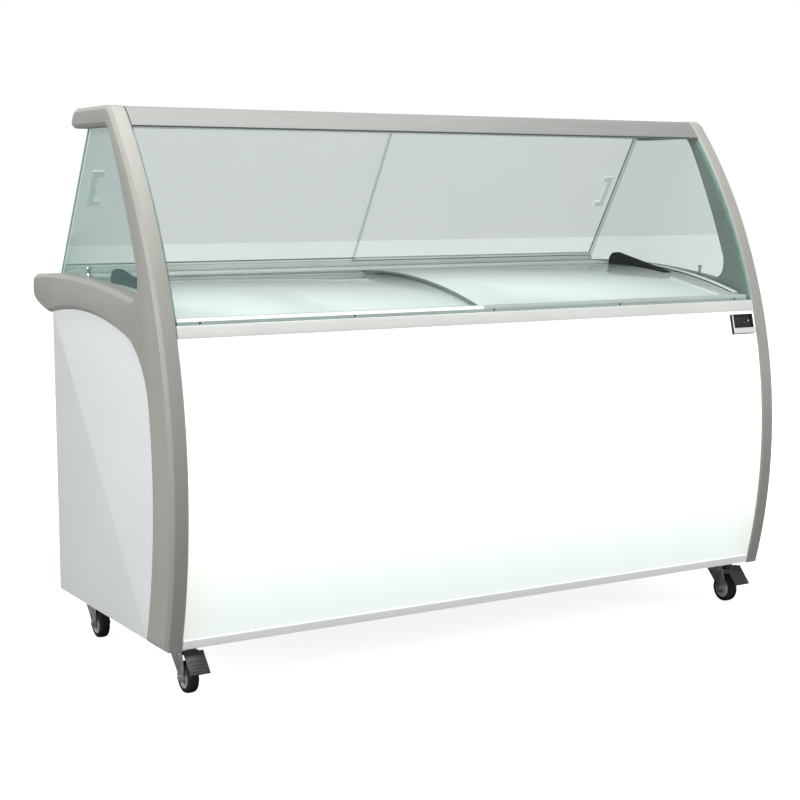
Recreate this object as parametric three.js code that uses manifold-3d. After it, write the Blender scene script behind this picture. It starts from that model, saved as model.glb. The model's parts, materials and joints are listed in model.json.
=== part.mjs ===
// Ice-cream dipping cabinet: a chest freezer with two curved sliding lids under a curved-glass canopy,
// carried by two moulded end frames, on four swivel casters with two brake pedals.
// Millimetres, +Z up, +X along the length, the front faces -Y.
// The origin is on the floor, under the middle of the overall box.
import * as THREE from "three";
import { mergeVertices } from "three/addons/utils/BufferGeometryUtils.js";
import Module from "manifold-3d";

// ---- Driving dimensions -------------------------------------------------------------------------

// overall box
const LENGTH = 1800;
const DEPTH = 888;
const HEIGHT = 1345;

// end frames: one arc makes the front of the frames, the front panel and the front glass
const FRAME_THICKNESS = 44;
const FRAME_CHAMFER = 10; // along the outer edges
const BULGE_HEIGHT = 475; // where the arc reaches furthest forward
const CANOPY_SETBACK = 328.3; // how far the arc runs back from there to the top
const LEG_WIDTH = 112;
const LEG_NECK_RISE = 110; // above the deck, where the leg starts to round into the rear arm
const LEG_NECK_WIDTH = 79;
const LEG_MIDDLE_WIDTH = 62;
const LEG_MIDDLE_SHARE = 0.385; // of the way up from the neck to the top arm
const LEG_TOP_WIDTH = 38;
const LEG_ELBOW_RADIUS = 190; // between the leg and the rear arm's underside
const TOP_ARM_HEIGHT = 48;
const TOP_ARM_LEAN = 29; // how far the top arm's rear end runs back from its top to its foot

// deck: the top of the front trim, where the front glass stands
const DECK_HEIGHT = 850;
const TRIM_HEIGHT = 28;
const ARM_TOP_RADIUS = 3000;
const ARM_TOP_RISE = 89; // peak of the rear arm's top edge, above the deck
const ARM_PEAK_FROM_FRONT = 682;
const ARM_UNDER_RADIUS = 1150;
const ARM_UNDER_RISE = 8;
const ARM_UNDER_PEAK_FROM_FRONT = 570;
const HORN_HEIGHT = 66; // the rounded rear end of the rear arm
const HORN_REACH = 110; // from the horn's foot to its rear

// freezer body
const CASE_BEHIND_FRONT = 44.5; // behind the front arc's rearmost edge, at the deck or at the foot
const CASE_FROM_REAR = 134;
const CASE_BELOW_DECK = 16;
const CASE_WALL = 2;
const FOAM_WALL = 57;
const LINER_WALL = 2;
const EVAPORATOR_SPACE = 11; // between liner and foam
const EVAPORATOR_THICKNESS = 4;
const TANK_FLOOR_HEIGHT = 500;
const BASE_HEIGHT = 34;
const BASE_SHEET = 4;
const COLLAR_THICKNESS = 4.5;
const SIDE_PANEL_RECESS = 7;
const SIDE_PANEL_WALL = 4;

// lids
const LID_RADIUS = 1631;
const LID_RISE = 82;
const LID_PEAK_BEHIND_DECK_EDGE = 505.5;
const LID_BEHIND_DECK_EDGE = 29.5;
const LID_FROM_LEDGE = 14;
const LID_GLASS = 5;
const LID_STEP = 12; // how far the left lid runs below the right one
const LID_SEAM_FROM_MIDDLE = 25; // the right lid's inner edge, left of the middle
const LID_OVERLAP = 35;
const LID_BAR_WIDTH = 16;
const LID_BAR_HEIGHT = 6;
const GRIP_LENGTH = 260;
const GRIP_HEIGHT = 36;
const GRIP_WIDTH = 34;
const GRIP_FROM_LEDGE = 94; // rear end of the grip, in front of the rear ledge
const GRIP_FROM_END = 42;

// canopy glass, rear doors
const FRONT_GLASS = 6;
const SIDE_GLASS = 6;
const GLASS_INSET = 5; // outer glass face behind the face of the frames
const DOOR_GLASS = 5;
const DOOR_GAP = 8.4; // between the two doors
const DOOR_OVERLAP = 16;
const DOOR_TOP_FROM_FRONT = 542.7; // where the door plane meets the top of the canopy
const DOOR_FOOT_FROM_REAR = 97; // where the door plane meets the ledge
const TRACK_FLOOR = 5; // least height of the bottom track under its grooves
const DOOR_HEAD_DROP = 23; // upper edge of the doors, below the top of the canopy
const PULL_LENGTH = 102;
const PULL_REACH = 32;
const PULL_RISE = 17.5; // above the middle of the door
const PULL_FROM_END = 35;
const PULL_WIDTH = 17;
const PULL_THICKNESS = 8;

// casters
const WHEEL_DIAMETER = 75;
const WHEEL_WIDTH = 30;
const AXLE_DIAMETER = 8;
const CASTER_TRAIL = 38;
const CASTER_HEAD_ROOM = 39; // between the wheels and the end frames
const CASTER_FROM_FRAME = 33; // swivel axis, from the inner face of the end frame
const CASTER_FROM_CASE_FRONT = 37;
const CASTER_FROM_CASE_REAR = 64;
const CROWN_RADIUS = 30;
const FORK_SHEET = 3;
const CASTER_PAD = 2.5;
const PEDAL_WIDTH = 50;

// clearances
const GAP = 0.4; // between pieces that touch
const RUNNING_GAP = 0.5; // beside pieces that slide or turn

// ---- Places worked out from them ----------------------------------------------------------------

const END_X = LENGTH / 2;
const INNER_X = END_X - FRAME_THICKNESS; // inner faces of the end frames
const SPAN_X = INNER_X - 0.6; // half-length of what fits between the frames
const FRONT_Y = -DEPTH / 2;
const REAR_Y = DEPTH / 2;
const FRONT_RADIUS = (CANOPY_SETBACK ** 2 + (HEIGHT - BULGE_HEIGHT) ** 2) / (2 * CANOPY_SETBACK);
const ARC_Y = FRONT_Y + FRONT_RADIUS;
const BODY_BOTTOM = WHEEL_DIAMETER + CASTER_HEAD_ROOM;
const BASE_BOTTOM = BODY_BOTTOM + 2;
const DECK_EDGE_Y = frontAt(DECK_HEIGHT)[0];
const CASE_FRONT = Math.max(DECK_EDGE_Y, frontAt(BASE_BOTTOM)[0]) + CASE_BEHIND_FRONT;
const CASE_REAR = REAR_Y - CASE_FROM_REAR;
const CASE_TOP = DECK_HEIGHT - CASE_BELOW_DECK;
const CANOPY_UNDERSIDE = HEIGHT - TOP_ARM_HEIGHT;
const SIDES = [
  { side: "left", sign: -1 },
  { side: "right", sign: 1 },
];

// ---- Finishes -----------------------------------------------------------------------------------

const GREY_PLASTIC = { color: 0xb0b1a8, roughness: 0.5, metalness: 0 };
const WHITE_PANEL = { color: 0xe2e8e8, roughness: 0.45, metalness: 0 };
const CREAM_TRIM = { color: 0xeceae2, roughness: 0.45, metalness: 0 };
const LIGHT_PANEL = { color: 0xffffff, roughness: 0.3, metalness: 0 };
const FOAM = { color: 0xe9dfb8, roughness: 0.9, metalness: 0 };
const ALUMINIUM = { color: 0xc9c7c2, roughness: 0.35, metalness: 0.9 };
const GALVANISED = { color: 0xb4b9bb, roughness: 0.4, metalness: 0.9 };
const CHROME = { color: 0xe6e6e6, roughness: 0.1, metalness: 1 };
const GLASS = { color: 0xcfe3de, roughness: 0.05, metalness: 0, transparent: true, opacity: 0.35 };
const WHITE_PLASTIC = { color: 0xf2f4f2, roughness: 0.4, metalness: 0 };
const BLACK_PLASTIC = { color: 0x1b1d1f, roughness: 0.5, metalness: 0 };
const BLACK_METAL = { color: 0x202224, roughness: 0.45, metalness: 0.3 };
const RUBBER = { color: 0x151515, roughness: 0.8, metalness: 0 };

// ---- Tools for shapes ---------------------------------------------------------------------------

const wasm = await Module();
wasm.setup();

// A closed geometry as a solid that can be joined or cut.
function solidOf(geometry) {
  const plain = new THREE.BufferGeometry();
  const source = geometry.index ? geometry.toNonIndexed() : geometry;
  plain.setAttribute("position", source.getAttribute("position"));
  const merged = mergeVertices(plain, 1e-4);
  const triVerts = new Uint32Array(merged.index.array);
  const vertProperties = merged.getAttribute("position").array;
  return new wasm.Manifold(new wasm.Mesh({ numProp: 3, vertProperties, triVerts }));
}

function geometryOf(solid) {
  const mesh = solid.getMesh();
  const geometry = new THREE.BufferGeometry();
  geometry.setAttribute("position", new THREE.BufferAttribute(mesh.vertProperties, 3));
  geometry.setIndex(new THREE.BufferAttribute(mesh.triVerts, 1));
  geometry.computeVertexNormals();
  return geometry;
}

function cut(geometry, ...tools) {
  return geometryOf(tools.reduce((solid, tool) => solid.subtract(solidOf(tool)), solidOf(geometry)));
}

function join(first, ...others) {
  return geometryOf(others.reduce((solid, other) => solid.add(solidOf(other)), solidOf(first)));
}

// A box between two values on each axis.
function block(x0, x1, y0, y1, z0, z1) {
  const box = new THREE.BoxGeometry(x1 - x0, y1 - y0, z1 - z0);
  return box.translate((x0 + x1) / 2, (y0 + y1) / 2, (z0 + z1) / 2);
}

// A block open at the top and bottom, with walls of one thickness.
function ringBlock(halfX, y0, y1, z0, z1, wall) {
  const hollow = block(-halfX + wall, halfX - wall, y0 + wall, y1 - wall, z0 - 1, z1 + 1);
  return cut(block(-halfX, halfX, y0, y1, z0, z1), hollow);
}

function cylinder(axis, radius, length, segments = 16) {
  const bar = new THREE.CylinderGeometry(radius, radius, length, segments);
  if (axis === "x") bar.rotateZ(Math.PI / 2);
  if (axis === "z") bar.rotateX(Math.PI / 2);
  return bar;
}

const outlineShape = (points) => new THREE.Shape(points.map(([y, z]) => new THREE.Vector2(y, z)));

// Turns a profile drawn in Y and Z, and extruded, so that it runs along X.
const PROFILE_ALONG_X = new THREE.Matrix4().makeBasis(
  new THREE.Vector3(0, 1, 0),
  new THREE.Vector3(0, 0, 1),
  new THREE.Vector3(1, 0, 0),
);

function extrudeX(points, x0, x1, bevel = {}) {
  const settings = { depth: x1 - x0, bevelEnabled: false, ...bevel };
  const bar = new THREE.ExtrudeGeometry(outlineShape(points), settings);
  return bar.applyMatrix4(PROFILE_ALONG_X).translate(x0, 0, 0);
}

// The outline of a sheet bent along a line of points; its thickness lies to the right of the line.
function bentSheet(line, thickness) {
  const at = line.map(([y, z]) => new THREE.Vector2(y, z));
  const headings = at.slice(1).map((point, i) => point.clone().sub(at[i]).normalize());
  const offset = at.map((point, i) => {
    const before = headings[Math.max(i - 1, 0)];
    const after = headings[Math.min(i, headings.length - 1)];
    const mitre = new THREE.Vector2(before.y + after.y, -before.x - after.x).normalize();
    const reach = thickness / (mitre.x * after.y - mitre.y * after.x);
    return point.clone().addScaledVector(mitre, reach);
  });
  return [...line, ...offset.reverse().map((point) => [point.x, point.y])];
}

// Points on a circle in Y and Z; angles in radians from +Y towards +Z.
function arc(centreY, centreZ, radius, from, to, steps) {
  return Array.from({ length: steps + 1 }, (_, i) => {
    const angle = from + ((to - from) * i) / steps;
    return [centreY + radius * Math.cos(angle), centreZ + radius * Math.sin(angle)];
  });
}

// A corner rounded from one point to another.
function corner(from, knee, to, steps = 4) {
  const bend = new THREE.QuadraticBezierCurve(
    new THREE.Vector2(...from),
    new THREE.Vector2(...knee),
    new THREE.Vector2(...to),
  );
  return bend.getPoints(steps).map((point) => [point.x, point.y]);
}

// A point of the front arc at a height, moved inwards, square to the arc.
function frontPoint(height, inset = 0) {
  const lift = Math.asin((height - BULGE_HEIGHT) / FRONT_RADIUS);
  const radius = FRONT_RADIUS - inset;
  return [ARC_Y - radius * Math.cos(lift), BULGE_HEIGHT + radius * Math.sin(lift)];
}

// The front arc's point at exactly a height, when the arc is moved inwards.
function frontAt(height, inset = 0) {
  return [ARC_Y - Math.sqrt((FRONT_RADIUS - inset) ** 2 - (height - BULGE_HEIGHT) ** 2), height];
}

// The front arc between two heights, moved inwards; it ends at those heights.
function frontCurve(inset, from, to, steps) {
  const radius = FRONT_RADIUS - inset;
  const start = Math.PI - Math.asin((from - BULGE_HEIGHT) / radius);
  const end = Math.PI - Math.asin((to - BULGE_HEIGHT) / radius);
  return arc(ARC_Y, BULGE_HEIGHT, radius, start, end, steps);
}

function frontSheet(outerInset, thickness, from, to, steps) {
  const outside = frontCurve(outerInset, from, to, steps);
  const inside = frontCurve(outerInset + thickness, from, to, steps);
  return [...outside, ...inside.reverse()];
}

// Height of a shallow dome that runs front to back.
const domeHeight = (radius, peakY, peakZ, y) => peakZ - radius + Math.sqrt(radius ** 2 - (y - peakY) ** 2);

function domeCurve(radius, peakY, peakZ, from, to, steps) {
  return Array.from({ length: steps + 1 }, (_, i) => {
    const y = from + ((to - from) * i) / steps;
    return [y, domeHeight(radius, peakY, peakZ, y)];
  });
}

// Where two circles meet, on the side of the first centre that faces -Y.
function circlesMeet(a, radiusA, b, radiusB) {
  const from = new THREE.Vector2(...a);
  const step = new THREE.Vector2(...b).sub(from);
  const distance = step.length();
  const along = (radiusA ** 2 - radiusB ** 2 + distance ** 2) / (2 * distance);
  const aside = Math.sqrt(radiusA ** 2 - along ** 2);
  const foot = from.addScaledVector(step.clone().normalize(), along);
  const across = new THREE.Vector2(-step.y, step.x).normalize().multiplyScalar(aside);
  const meets = [foot.clone().add(across), foot.clone().sub(across)];
  const front = meets[0].x < meets[1].x ? meets[0] : meets[1];
  return [front.x, front.y];
}

const cabinet = new THREE.Group();

function add(name, geometry, finish, parent = cabinet) {
  const mesh = new THREE.Mesh(geometry, new THREE.MeshStandardMaterial(finish));
  mesh.name = name;
  parent.add(mesh);
  return mesh;
}

function place(x, y, z, parent = cabinet) {
  const group = new THREE.Group();
  group.position.set(x, y, z);
  parent.add(group);
  return group;
}

// ---- Curves shared by several pieces ------------------------------------------------------------

const ARM_PEAK_Y = FRONT_Y + ARM_PEAK_FROM_FRONT;
const ARM_PEAK_Z = DECK_HEIGHT + ARM_TOP_RISE;
const armTop = (y) => domeHeight(ARM_TOP_RADIUS, ARM_PEAK_Y, ARM_PEAK_Z, y);

const UNDER_CENTRE = [
  FRONT_Y + ARM_UNDER_PEAK_FROM_FRONT,
  DECK_HEIGHT + ARM_UNDER_RISE - ARM_UNDER_RADIUS,
];

// The front edge and underside of the side panel's opening, moved inwards by a gap: up the leg,
// round the elbow, and back under the rear arm to a given depth.
function openingCurve(gap, bottom, rearY) {
  const legRadius = FRONT_RADIUS - LEG_WIDTH - gap;
  const elbow = LEG_ELBOW_RADIUS - gap;
  const underRadius = ARM_UNDER_RADIUS - gap;
  const arcCentre = [ARC_Y, BULGE_HEIGHT];
  const [elbowY, elbowZ] = circlesMeet(UNDER_CENTRE, underRadius - elbow, arcCentre, legRadius - elbow);
  const legAngle = Math.atan2(elbowZ - BULGE_HEIGHT, elbowY - ARC_Y);
  const armAngle = Math.atan2(elbowZ - UNDER_CENTRE[1], elbowY - UNDER_CENTRE[0]);
  const start = Math.PI - Math.asin((bottom - BULGE_HEIGHT) / legRadius);
  const end = Math.acos((rearY - UNDER_CENTRE[0]) / underRadius);
  const leg = arc(ARC_Y, BULGE_HEIGHT, legRadius, start, legAngle, 9);
  const bend = arc(elbowY, elbowZ, elbow, legAngle, armAngle, 7);
  const arm = arc(...UNDER_CENTRE, underRadius, armAngle, end, 7);
  return [...leg, ...bend.slice(1, -1), ...arm];
}

// The rear doors' plane: distance down the slope and distance out of the cabinet, as Y and Z.
const LEDGE_TOP = ARM_PEAK_Z - 4;
const DOOR_FOOT_Y = REAR_Y - DOOR_FOOT_FROM_REAR;
const DOOR_TOP_Y = FRONT_Y + DOOR_TOP_FROM_FRONT;
const DOOR_SLOPE = (DOOR_FOOT_Y - DOOR_TOP_Y) / (HEIGHT - LEDGE_TOP); // back for each millimetre down
const SLOPE_LENGTH = Math.hypot(DOOR_SLOPE, 1);
const DOWN_SLOPE = [DOOR_SLOPE / SLOPE_LENGTH, -1 / SLOPE_LENGTH];
const OUT_OF_SLOPE = [1 / SLOPE_LENGTH, DOOR_SLOPE / SLOPE_LENGTH];

// Up the slope from the door's foot by a distance, and out of the cabinet by another.
function slopePoint(up, out) {
  return [
    DOOR_FOOT_Y - DOWN_SLOPE[0] * up + OUT_OF_SLOPE[0] * out,
    LEDGE_TOP - DOWN_SLOPE[1] * up + OUT_OF_SLOPE[1] * out,
  ];
}

// The same plane's depth at a height.
const slopeY = (height, out = 0) => DOOR_FOOT_Y + (LEDGE_TOP - height) * DOOR_SLOPE + out * SLOPE_LENGTH;

// ---- End frames and side panels -----------------------------------------------------------------

function endFrameOutline() {
  const topRound = 20;
  const tipRound = 16;
  const tipFootRound = 30;
  const tipOut = 10;
  const neck = DECK_HEIGHT + LEG_NECK_RISE;
  const legFoot = frontAt(neck, LEG_NECK_WIDTH);
  const legMiddle = frontAt(neck + LEG_MIDDLE_SHARE * (CANOPY_UNDERSIDE - neck), LEG_MIDDLE_WIDTH);
  const legTop = frontAt(CANOPY_UNDERSIDE, LEG_TOP_WIDTH);
  const front = frontCurve(0, BODY_BOTTOM, HEIGHT - topRound, 22);
  const frontTop = frontAt(HEIGHT);
  const nose = corner(front.at(-1), frontTop, [frontTop[0] + topRound, HEIGHT], 3);
  const tipFootY = slopeY(CANOPY_UNDERSIDE, tipOut);
  const tipAt = (height) => [tipFootY - (TOP_ARM_LEAN * (height - CANOPY_UNDERSIDE)) / TOP_ARM_HEIGHT, height];
  const tipTop = tipAt(HEIGHT);
  const tipFoot = tipAt(CANOPY_UNDERSIDE);
  const tipUpper = corner([tipTop[0] - tipRound, HEIGHT], tipTop, tipAt(HEIGHT - tipRound), 3);
  const tipLower = corner(
    tipAt(CANOPY_UNDERSIDE + 0.8 * tipFootRound),
    tipFoot,
    [tipFoot[0] - tipFootRound, CANOPY_UNDERSIDE],
    4,
  );
  const legBack = corner(legTop, legMiddle, legFoot, 9);
  const underTop = corner([legTop[0] + 14, CANOPY_UNDERSIDE], legTop, legBack[1], 3);
  const armStart = legFoot[0] + 51;
  const crook = corner(legFoot, [legFoot[0] - 6, armTop(armStart) - 4], [armStart, armTop(armStart)], 5);
  const armEnd = REAR_Y - 28;
  const arm = domeCurve(ARM_TOP_RADIUS, ARM_PEAK_Y, ARM_PEAK_Z, armStart, armEnd, 8);
  const hornTop = armTop(armEnd);
  const hornUpper = corner(arm.at(-1), [REAR_Y, hornTop], [REAR_Y, hornTop - 26], 4);
  const hornFoot = REAR_Y - HORN_REACH;
  const hornEnd = hornTop - HORN_HEIGHT;
  const opening = openingCurve(0, BODY_BOTTOM, hornFoot).reverse();
  const hornLower = corner([REAR_Y, hornEnd + 20], [REAR_Y, hornEnd - 14], opening[0], 6);
  return [
    ...front.slice(0, -1),
    ...nose,
    ...tipUpper,
    ...tipLower,
    ...underTop,
    ...legBack.slice(2, -1),
    ...crook,
    ...arm.slice(1, -1),
    ...hornUpper,
    ...hornLower,
    ...opening.slice(1),
  ];
}

function endFrame(sign) {
  const bevel = {
    bevelEnabled: true,
    bevelThickness: FRAME_CHAMFER,
    bevelSize: FRAME_CHAMFER,
    bevelOffset: -FRAME_CHAMFER,
    bevelSegments: 1,
  };
  const x0 = -END_X + FRAME_CHAMFER;
  const x1 = -INNER_X + 2 * FRAME_CHAMFER;
  const outer = extrudeX(endFrameOutline(), x0, x1, bevel);
  const inside = block(-INNER_X, -INNER_X + 4 * FRAME_CHAMFER, -DEPTH, DEPTH, 0, 2 * HEIGHT);
  const frame = cut(outer, inside);
  return sign < 0 ? frame : mirrorX(frame);
}

// The same shape for the other end.
function mirrorX(geometry) {
  const mirrored = geometry.clone().applyMatrix4(new THREE.Matrix4().makeScale(-1, 1, 1));
  const order = mirrored.index.array;
  for (let i = 0; i < order.length; i += 3) {
    [order[i + 1], order[i + 2]] = [order[i + 2], order[i + 1]];
  }
  mirrored.computeVertexNormals();
  return mirrored;
}

// A white cover, open towards the freezer body, inside the curve of the end frame.
function sidePanel(sign) {
  const outlineAt = (gap) => {
    const rear = CASE_REAR - (gap - 1);
    const curve = openingCurve(gap, BASE_BOTTOM + gap - 1, rear);
    return [...curve, [rear, BASE_BOTTOM + gap - 1]];
  };
  const outside = END_X - SIDE_PANEL_RECESS;
  const shell = extrudeX(outlineAt(1), -outside, -INNER_X - GAP);
  const hollow = extrudeX(outlineAt(1 + SIDE_PANEL_WALL), -outside + SIDE_PANEL_WALL, -INNER_X + 1);
  const panel = cut(shell, hollow);
  return sign < 0 ? panel : mirrorX(panel);
}

for (const { side, sign } of SIDES) {
  add(`end_frame_${side}`, endFrame(sign), GREY_PLASTIC);
  add(`side_panel_${side}`, sidePanel(sign), WHITE_PANEL);
}

// ---- Base, case, insulation, liner --------------------------------------------------------------

const CASTER_X = INNER_X - CASTER_FROM_FRAME;
const CASTER_FRONT_Y = CASE_FRONT + CASTER_FROM_CASE_FRONT;
const CASTER_REAR_Y = CASE_REAR - CASTER_FROM_CASE_REAR;
const CASTERS = [
  { corner: "front_left", x: -CASTER_X, y: CASTER_FRONT_Y, braked: true },
  { corner: "front_right", x: CASTER_X, y: CASTER_FRONT_Y, braked: true },
  { corner: "rear_left", x: -CASTER_X, y: CASTER_REAR_Y, braked: false },
  { corner: "rear_right", x: CASTER_X, y: CASTER_REAR_Y, braked: false },
];
const PAD_WIDTH = 64;
const PAD_DEPTH = 68;
const PAD_BOTTOM = BASE_BOTTOM - CASTER_PAD;
const BASE_TOP = BASE_BOTTOM + BASE_HEIGHT;

function baseFrame() {
  const tray = cut(
    block(-SPAN_X, SPAN_X, CASE_FRONT, CASE_REAR, BASE_BOTTOM, BASE_TOP),
    block(
      -SPAN_X + BASE_SHEET,
      SPAN_X - BASE_SHEET,
      CASE_FRONT + BASE_SHEET,
      CASE_REAR - BASE_SHEET,
      BASE_BOTTOM + BASE_SHEET,
      BASE_TOP + 1,
    ),
  );
  const pads = CASTERS.map(({ x, y }) => {
    const pad = new THREE.BoxGeometry(PAD_WIDTH, PAD_DEPTH, CASTER_PAD + 1);
    return pad.translate(x, y, (PAD_BOTTOM + BASE_BOTTOM + 1) / 2);
  });
  return join(tray, ...pads);
}

// Seen from behind, the machine room's grille is at one end of the case and the drain at the other.
const GRILLE = { width: 420, height: 240, frame: 14, sheet: 4, slot: 9, pitch: 20 };
const GRILLE_X1 = INNER_X - 66;
const GRILLE_X0 = GRILLE_X1 - GRILLE.width;
const GRILLE_BOTTOM = BASE_BOTTOM + 56;
const GRILLE_TOP = GRILLE_BOTTOM + GRILLE.height;
const DRAIN = { x: 156 - INNER_X, z: BASE_BOTTOM + 89, radius: 11 };
const TANK_TOP = CASE_TOP - GAP;

function outerCase() {
  const walls = ringBlock(SPAN_X, CASE_FRONT, CASE_REAR, BASE_TOP + GAP, CASE_TOP, CASE_WALL);
  const vent = block(
    GRILLE_X0 + GRILLE.frame,
    GRILLE_X1 - GRILLE.frame,
    CASE_REAR - 4 * CASE_WALL,
    CASE_REAR + CASE_WALL,
    GRILLE_BOTTOM + GRILLE.frame,
    GRILLE_TOP - GRILLE.frame,
  );
  const drain = cylinder("y", DRAIN.radius + RUNNING_GAP, 20).translate(DRAIN.x, CASE_REAR, DRAIN.z);
  return cut(walls, vent, drain);
}

const FOAM_X = SPAN_X - CASE_WALL - GAP;
const FOAM_FRONT = CASE_FRONT + CASE_WALL + GAP;
const FOAM_REAR = CASE_REAR - CASE_WALL - GAP;
const CAVITY_X = FOAM_X - FOAM_WALL;
const CAVITY_FRONT = FOAM_FRONT + FOAM_WALL;
const CAVITY_REAR = FOAM_REAR - FOAM_WALL;
const LINER_X = CAVITY_X - EVAPORATOR_SPACE;
const LINER_FRONT = CAVITY_FRONT + EVAPORATOR_SPACE;
const LINER_REAR = CAVITY_REAR - EVAPORATOR_SPACE;
const LINER_BOTTOM = TANK_FLOOR_HEIGHT - LINER_WALL;

function insulation() {
  const outside = block(-FOAM_X, FOAM_X, FOAM_FRONT, FOAM_REAR, LINER_BOTTOM - GAP - FOAM_WALL, TANK_TOP);
  const cavity = block(-CAVITY_X, CAVITY_X, CAVITY_FRONT, CAVITY_REAR, LINER_BOTTOM - GAP, TANK_TOP + 1);
  return cut(outside, cavity);
}

function liner() {
  const outside = block(-LINER_X, LINER_X, LINER_FRONT, LINER_REAR, LINER_BOTTOM, TANK_TOP);
  const inside = block(
    -LINER_X + LINER_WALL,
    LINER_X - LINER_WALL,
    LINER_FRONT + LINER_WALL,
    LINER_REAR - LINER_WALL,
    TANK_FLOOR_HEIGHT,
    TANK_TOP + 1,
  );
  return cut(outside, inside);
}

// A plate evaporator wrapped round the liner.
function evaporator() {
  const away = EVAPORATOR_THICKNESS + 1;
  const top = TANK_TOP - 40;
  const bottom = TANK_FLOOR_HEIGHT + 40;
  return ringBlock(LINER_X + away, LINER_FRONT - away, LINER_REAR + away, bottom, top, EVAPORATOR_THICKNESS);
}

const COLLAR_BOTTOM = CASE_TOP + GAP;
const COLLAR_TOP = COLLAR_BOTTOM + COLLAR_THICKNESS;

// Covers the top of the case walls, the foam and the liner's rim.
function collar() {
  const opening = block(
    -LINER_X + LINER_WALL + 2,
    LINER_X - LINER_WALL - 2,
    LINER_FRONT + LINER_WALL + 2,
    LINER_REAR - LINER_WALL - 2,
    COLLAR_BOTTOM - 1,
    COLLAR_TOP + 1,
  );
  return cut(block(-SPAN_X, SPAN_X, CASE_FRONT, CASE_REAR, COLLAR_BOTTOM, COLLAR_TOP), opening);
}

add("base_frame", baseFrame(), GALVANISED);
add("outer_case", outerCase(), WHITE_PANEL);
add("insulation_foam", insulation(), FOAM);
add("inner_liner", liner(), ALUMINIUM);
add("evaporator_wrap", evaporator(), ALUMINIUM);
add("top_collar", collar(), WHITE_PLASTIC);

// ---- Front: light panel, tray, tube, trim, rail -------------------------------------------------

const TRIM_BOTTOM = DECK_HEIGHT - TRIM_HEIGHT;
const DECK_REAR = DECK_EDGE_Y + LID_BEHIND_DECK_EDGE - 6; // in front of the lids
const RAIL_HEIGHT = 21;
const RAIL_TOP = BASE_BOTTOM + RAIL_HEIGHT;
const LIGHT_PANEL_THICKNESS = 3;
const LIGHT_PANEL_INSET = 3.5;
const CONTROLLER = { width: 78, height: 54, depth: 38, fromFrame: 10, belowTrim: 7 };
const CONTROLLER_X = INNER_X - CONTROLLER.fromFrame - CONTROLLER.width / 2;
const CONTROLLER_Z = TRIM_BOTTOM - CONTROLLER.belowTrim - CONTROLLER.height / 2;
const CONTROLLER_TILT = -Math.asin((CONTROLLER_Z - BULGE_HEIGHT) / FRONT_RADIUS);

// The controller's place on the front arc, leaning back with it; its own -Y faces out.
const controllerPlace = place(CONTROLLER_X, ...frontPoint(CONTROLLER_Z));
controllerPlace.rotation.x = CONTROLLER_TILT;

// A block in the controller's own frame, moved to where the controller is.
function controllerBlock(halfX, y0, y1, halfZ) {
  const tool = block(-halfX, halfX, y0, y1, -halfZ, halfZ);
  controllerPlace.updateMatrix();
  return tool.applyMatrix4(controllerPlace.matrix);
}

function lightPanel() {
  const outline = frontSheet(LIGHT_PANEL_INSET, LIGHT_PANEL_THICKNESS, RAIL_TOP + GAP, TRIM_BOTTOM - GAP, 18);
  const hole = controllerBlock(CONTROLLER.width / 2 + GAP, -20, 20, CONTROLLER.height / 2 + GAP);
  return cut(extrudeX(outline, -SPAN_X, SPAN_X), hole);
}

function lightTray() {
  const wall = 1.5;
  const back = CASE_FRONT - wall - GAP;
  const line = [
    [frontPoint(RAIL_TOP)[0] + 12, RAIL_TOP + 6],
    [back, RAIL_TOP + 12],
    [back, TRIM_BOTTOM - 12],
    [frontPoint(TRIM_BOTTOM)[0] + 12, TRIM_BOTTOM - 6],
  ];
  const hole = controllerBlock(CONTROLLER.width / 2 + 2, -20, CONTROLLER.depth + 2, CONTROLLER.height / 2 + 2);
  return cut(extrudeX(bentSheet(line, wall), -SPAN_X + 4, SPAN_X - 4), hole);
}

function lightTube() {
  const radius = 14;
  const tube = cylinder("x", radius, 2 * SPAN_X - 240, 12);
  const y = (frontPoint(BULGE_HEIGHT, 10)[0] + CASE_FRONT) / 2;
  return tube.translate(0, y, BULGE_HEIGHT + 120);
}

// An angle: its face continues the front arc, its top is the deck that the front glass stands on.
function frontTopTrim() {
  const wall = 4;
  const face = frontCurve(0.5, TRIM_BOTTOM, DECK_HEIGHT, 3);
  const deckUnderside = DECK_HEIGHT - wall;
  const back = frontCurve(0.5 + wall, TRIM_BOTTOM, deckUnderside, 2);
  const deck = [
    [DECK_REAR, DECK_HEIGHT],
    [DECK_REAR, deckUnderside],
  ];
  return extrudeX([...face, ...deck, ...back.reverse()], -SPAN_X, SPAN_X);
}

function bottomFrontRail() {
  const face = frontCurve(1, BASE_BOTTOM, RAIL_TOP, 3);
  const rear = CASE_FRONT - GAP;
  const lipRear = face.at(-1)[0] + 12;
  const floor = BASE_BOTTOM + 4;
  const lip = [
    [lipRear, RAIL_TOP],
    [lipRear, floor],
    [rear, floor],
    [rear, BASE_BOTTOM],
  ];
  return extrudeX([...face, ...lip], -SPAN_X, SPAN_X);
}

add("front_light_panel", lightPanel(), LIGHT_PANEL);
add("light_tray", lightTray(), WHITE_PLASTIC);
add("light_tube", lightTube(), LIGHT_PANEL);
add("front_top_trim", frontTopTrim(), CREAM_TRIM);
add("bottom_front_rail", bottomFrontRail(), ALUMINIUM);

// ---- Controller ---------------------------------------------------------------------------------

const KEY = { width: 12, height: 8, x: 9, z: 4, depth: 5, proud: 1.5 };
const WINDOW_DEPTH = 5;

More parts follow.
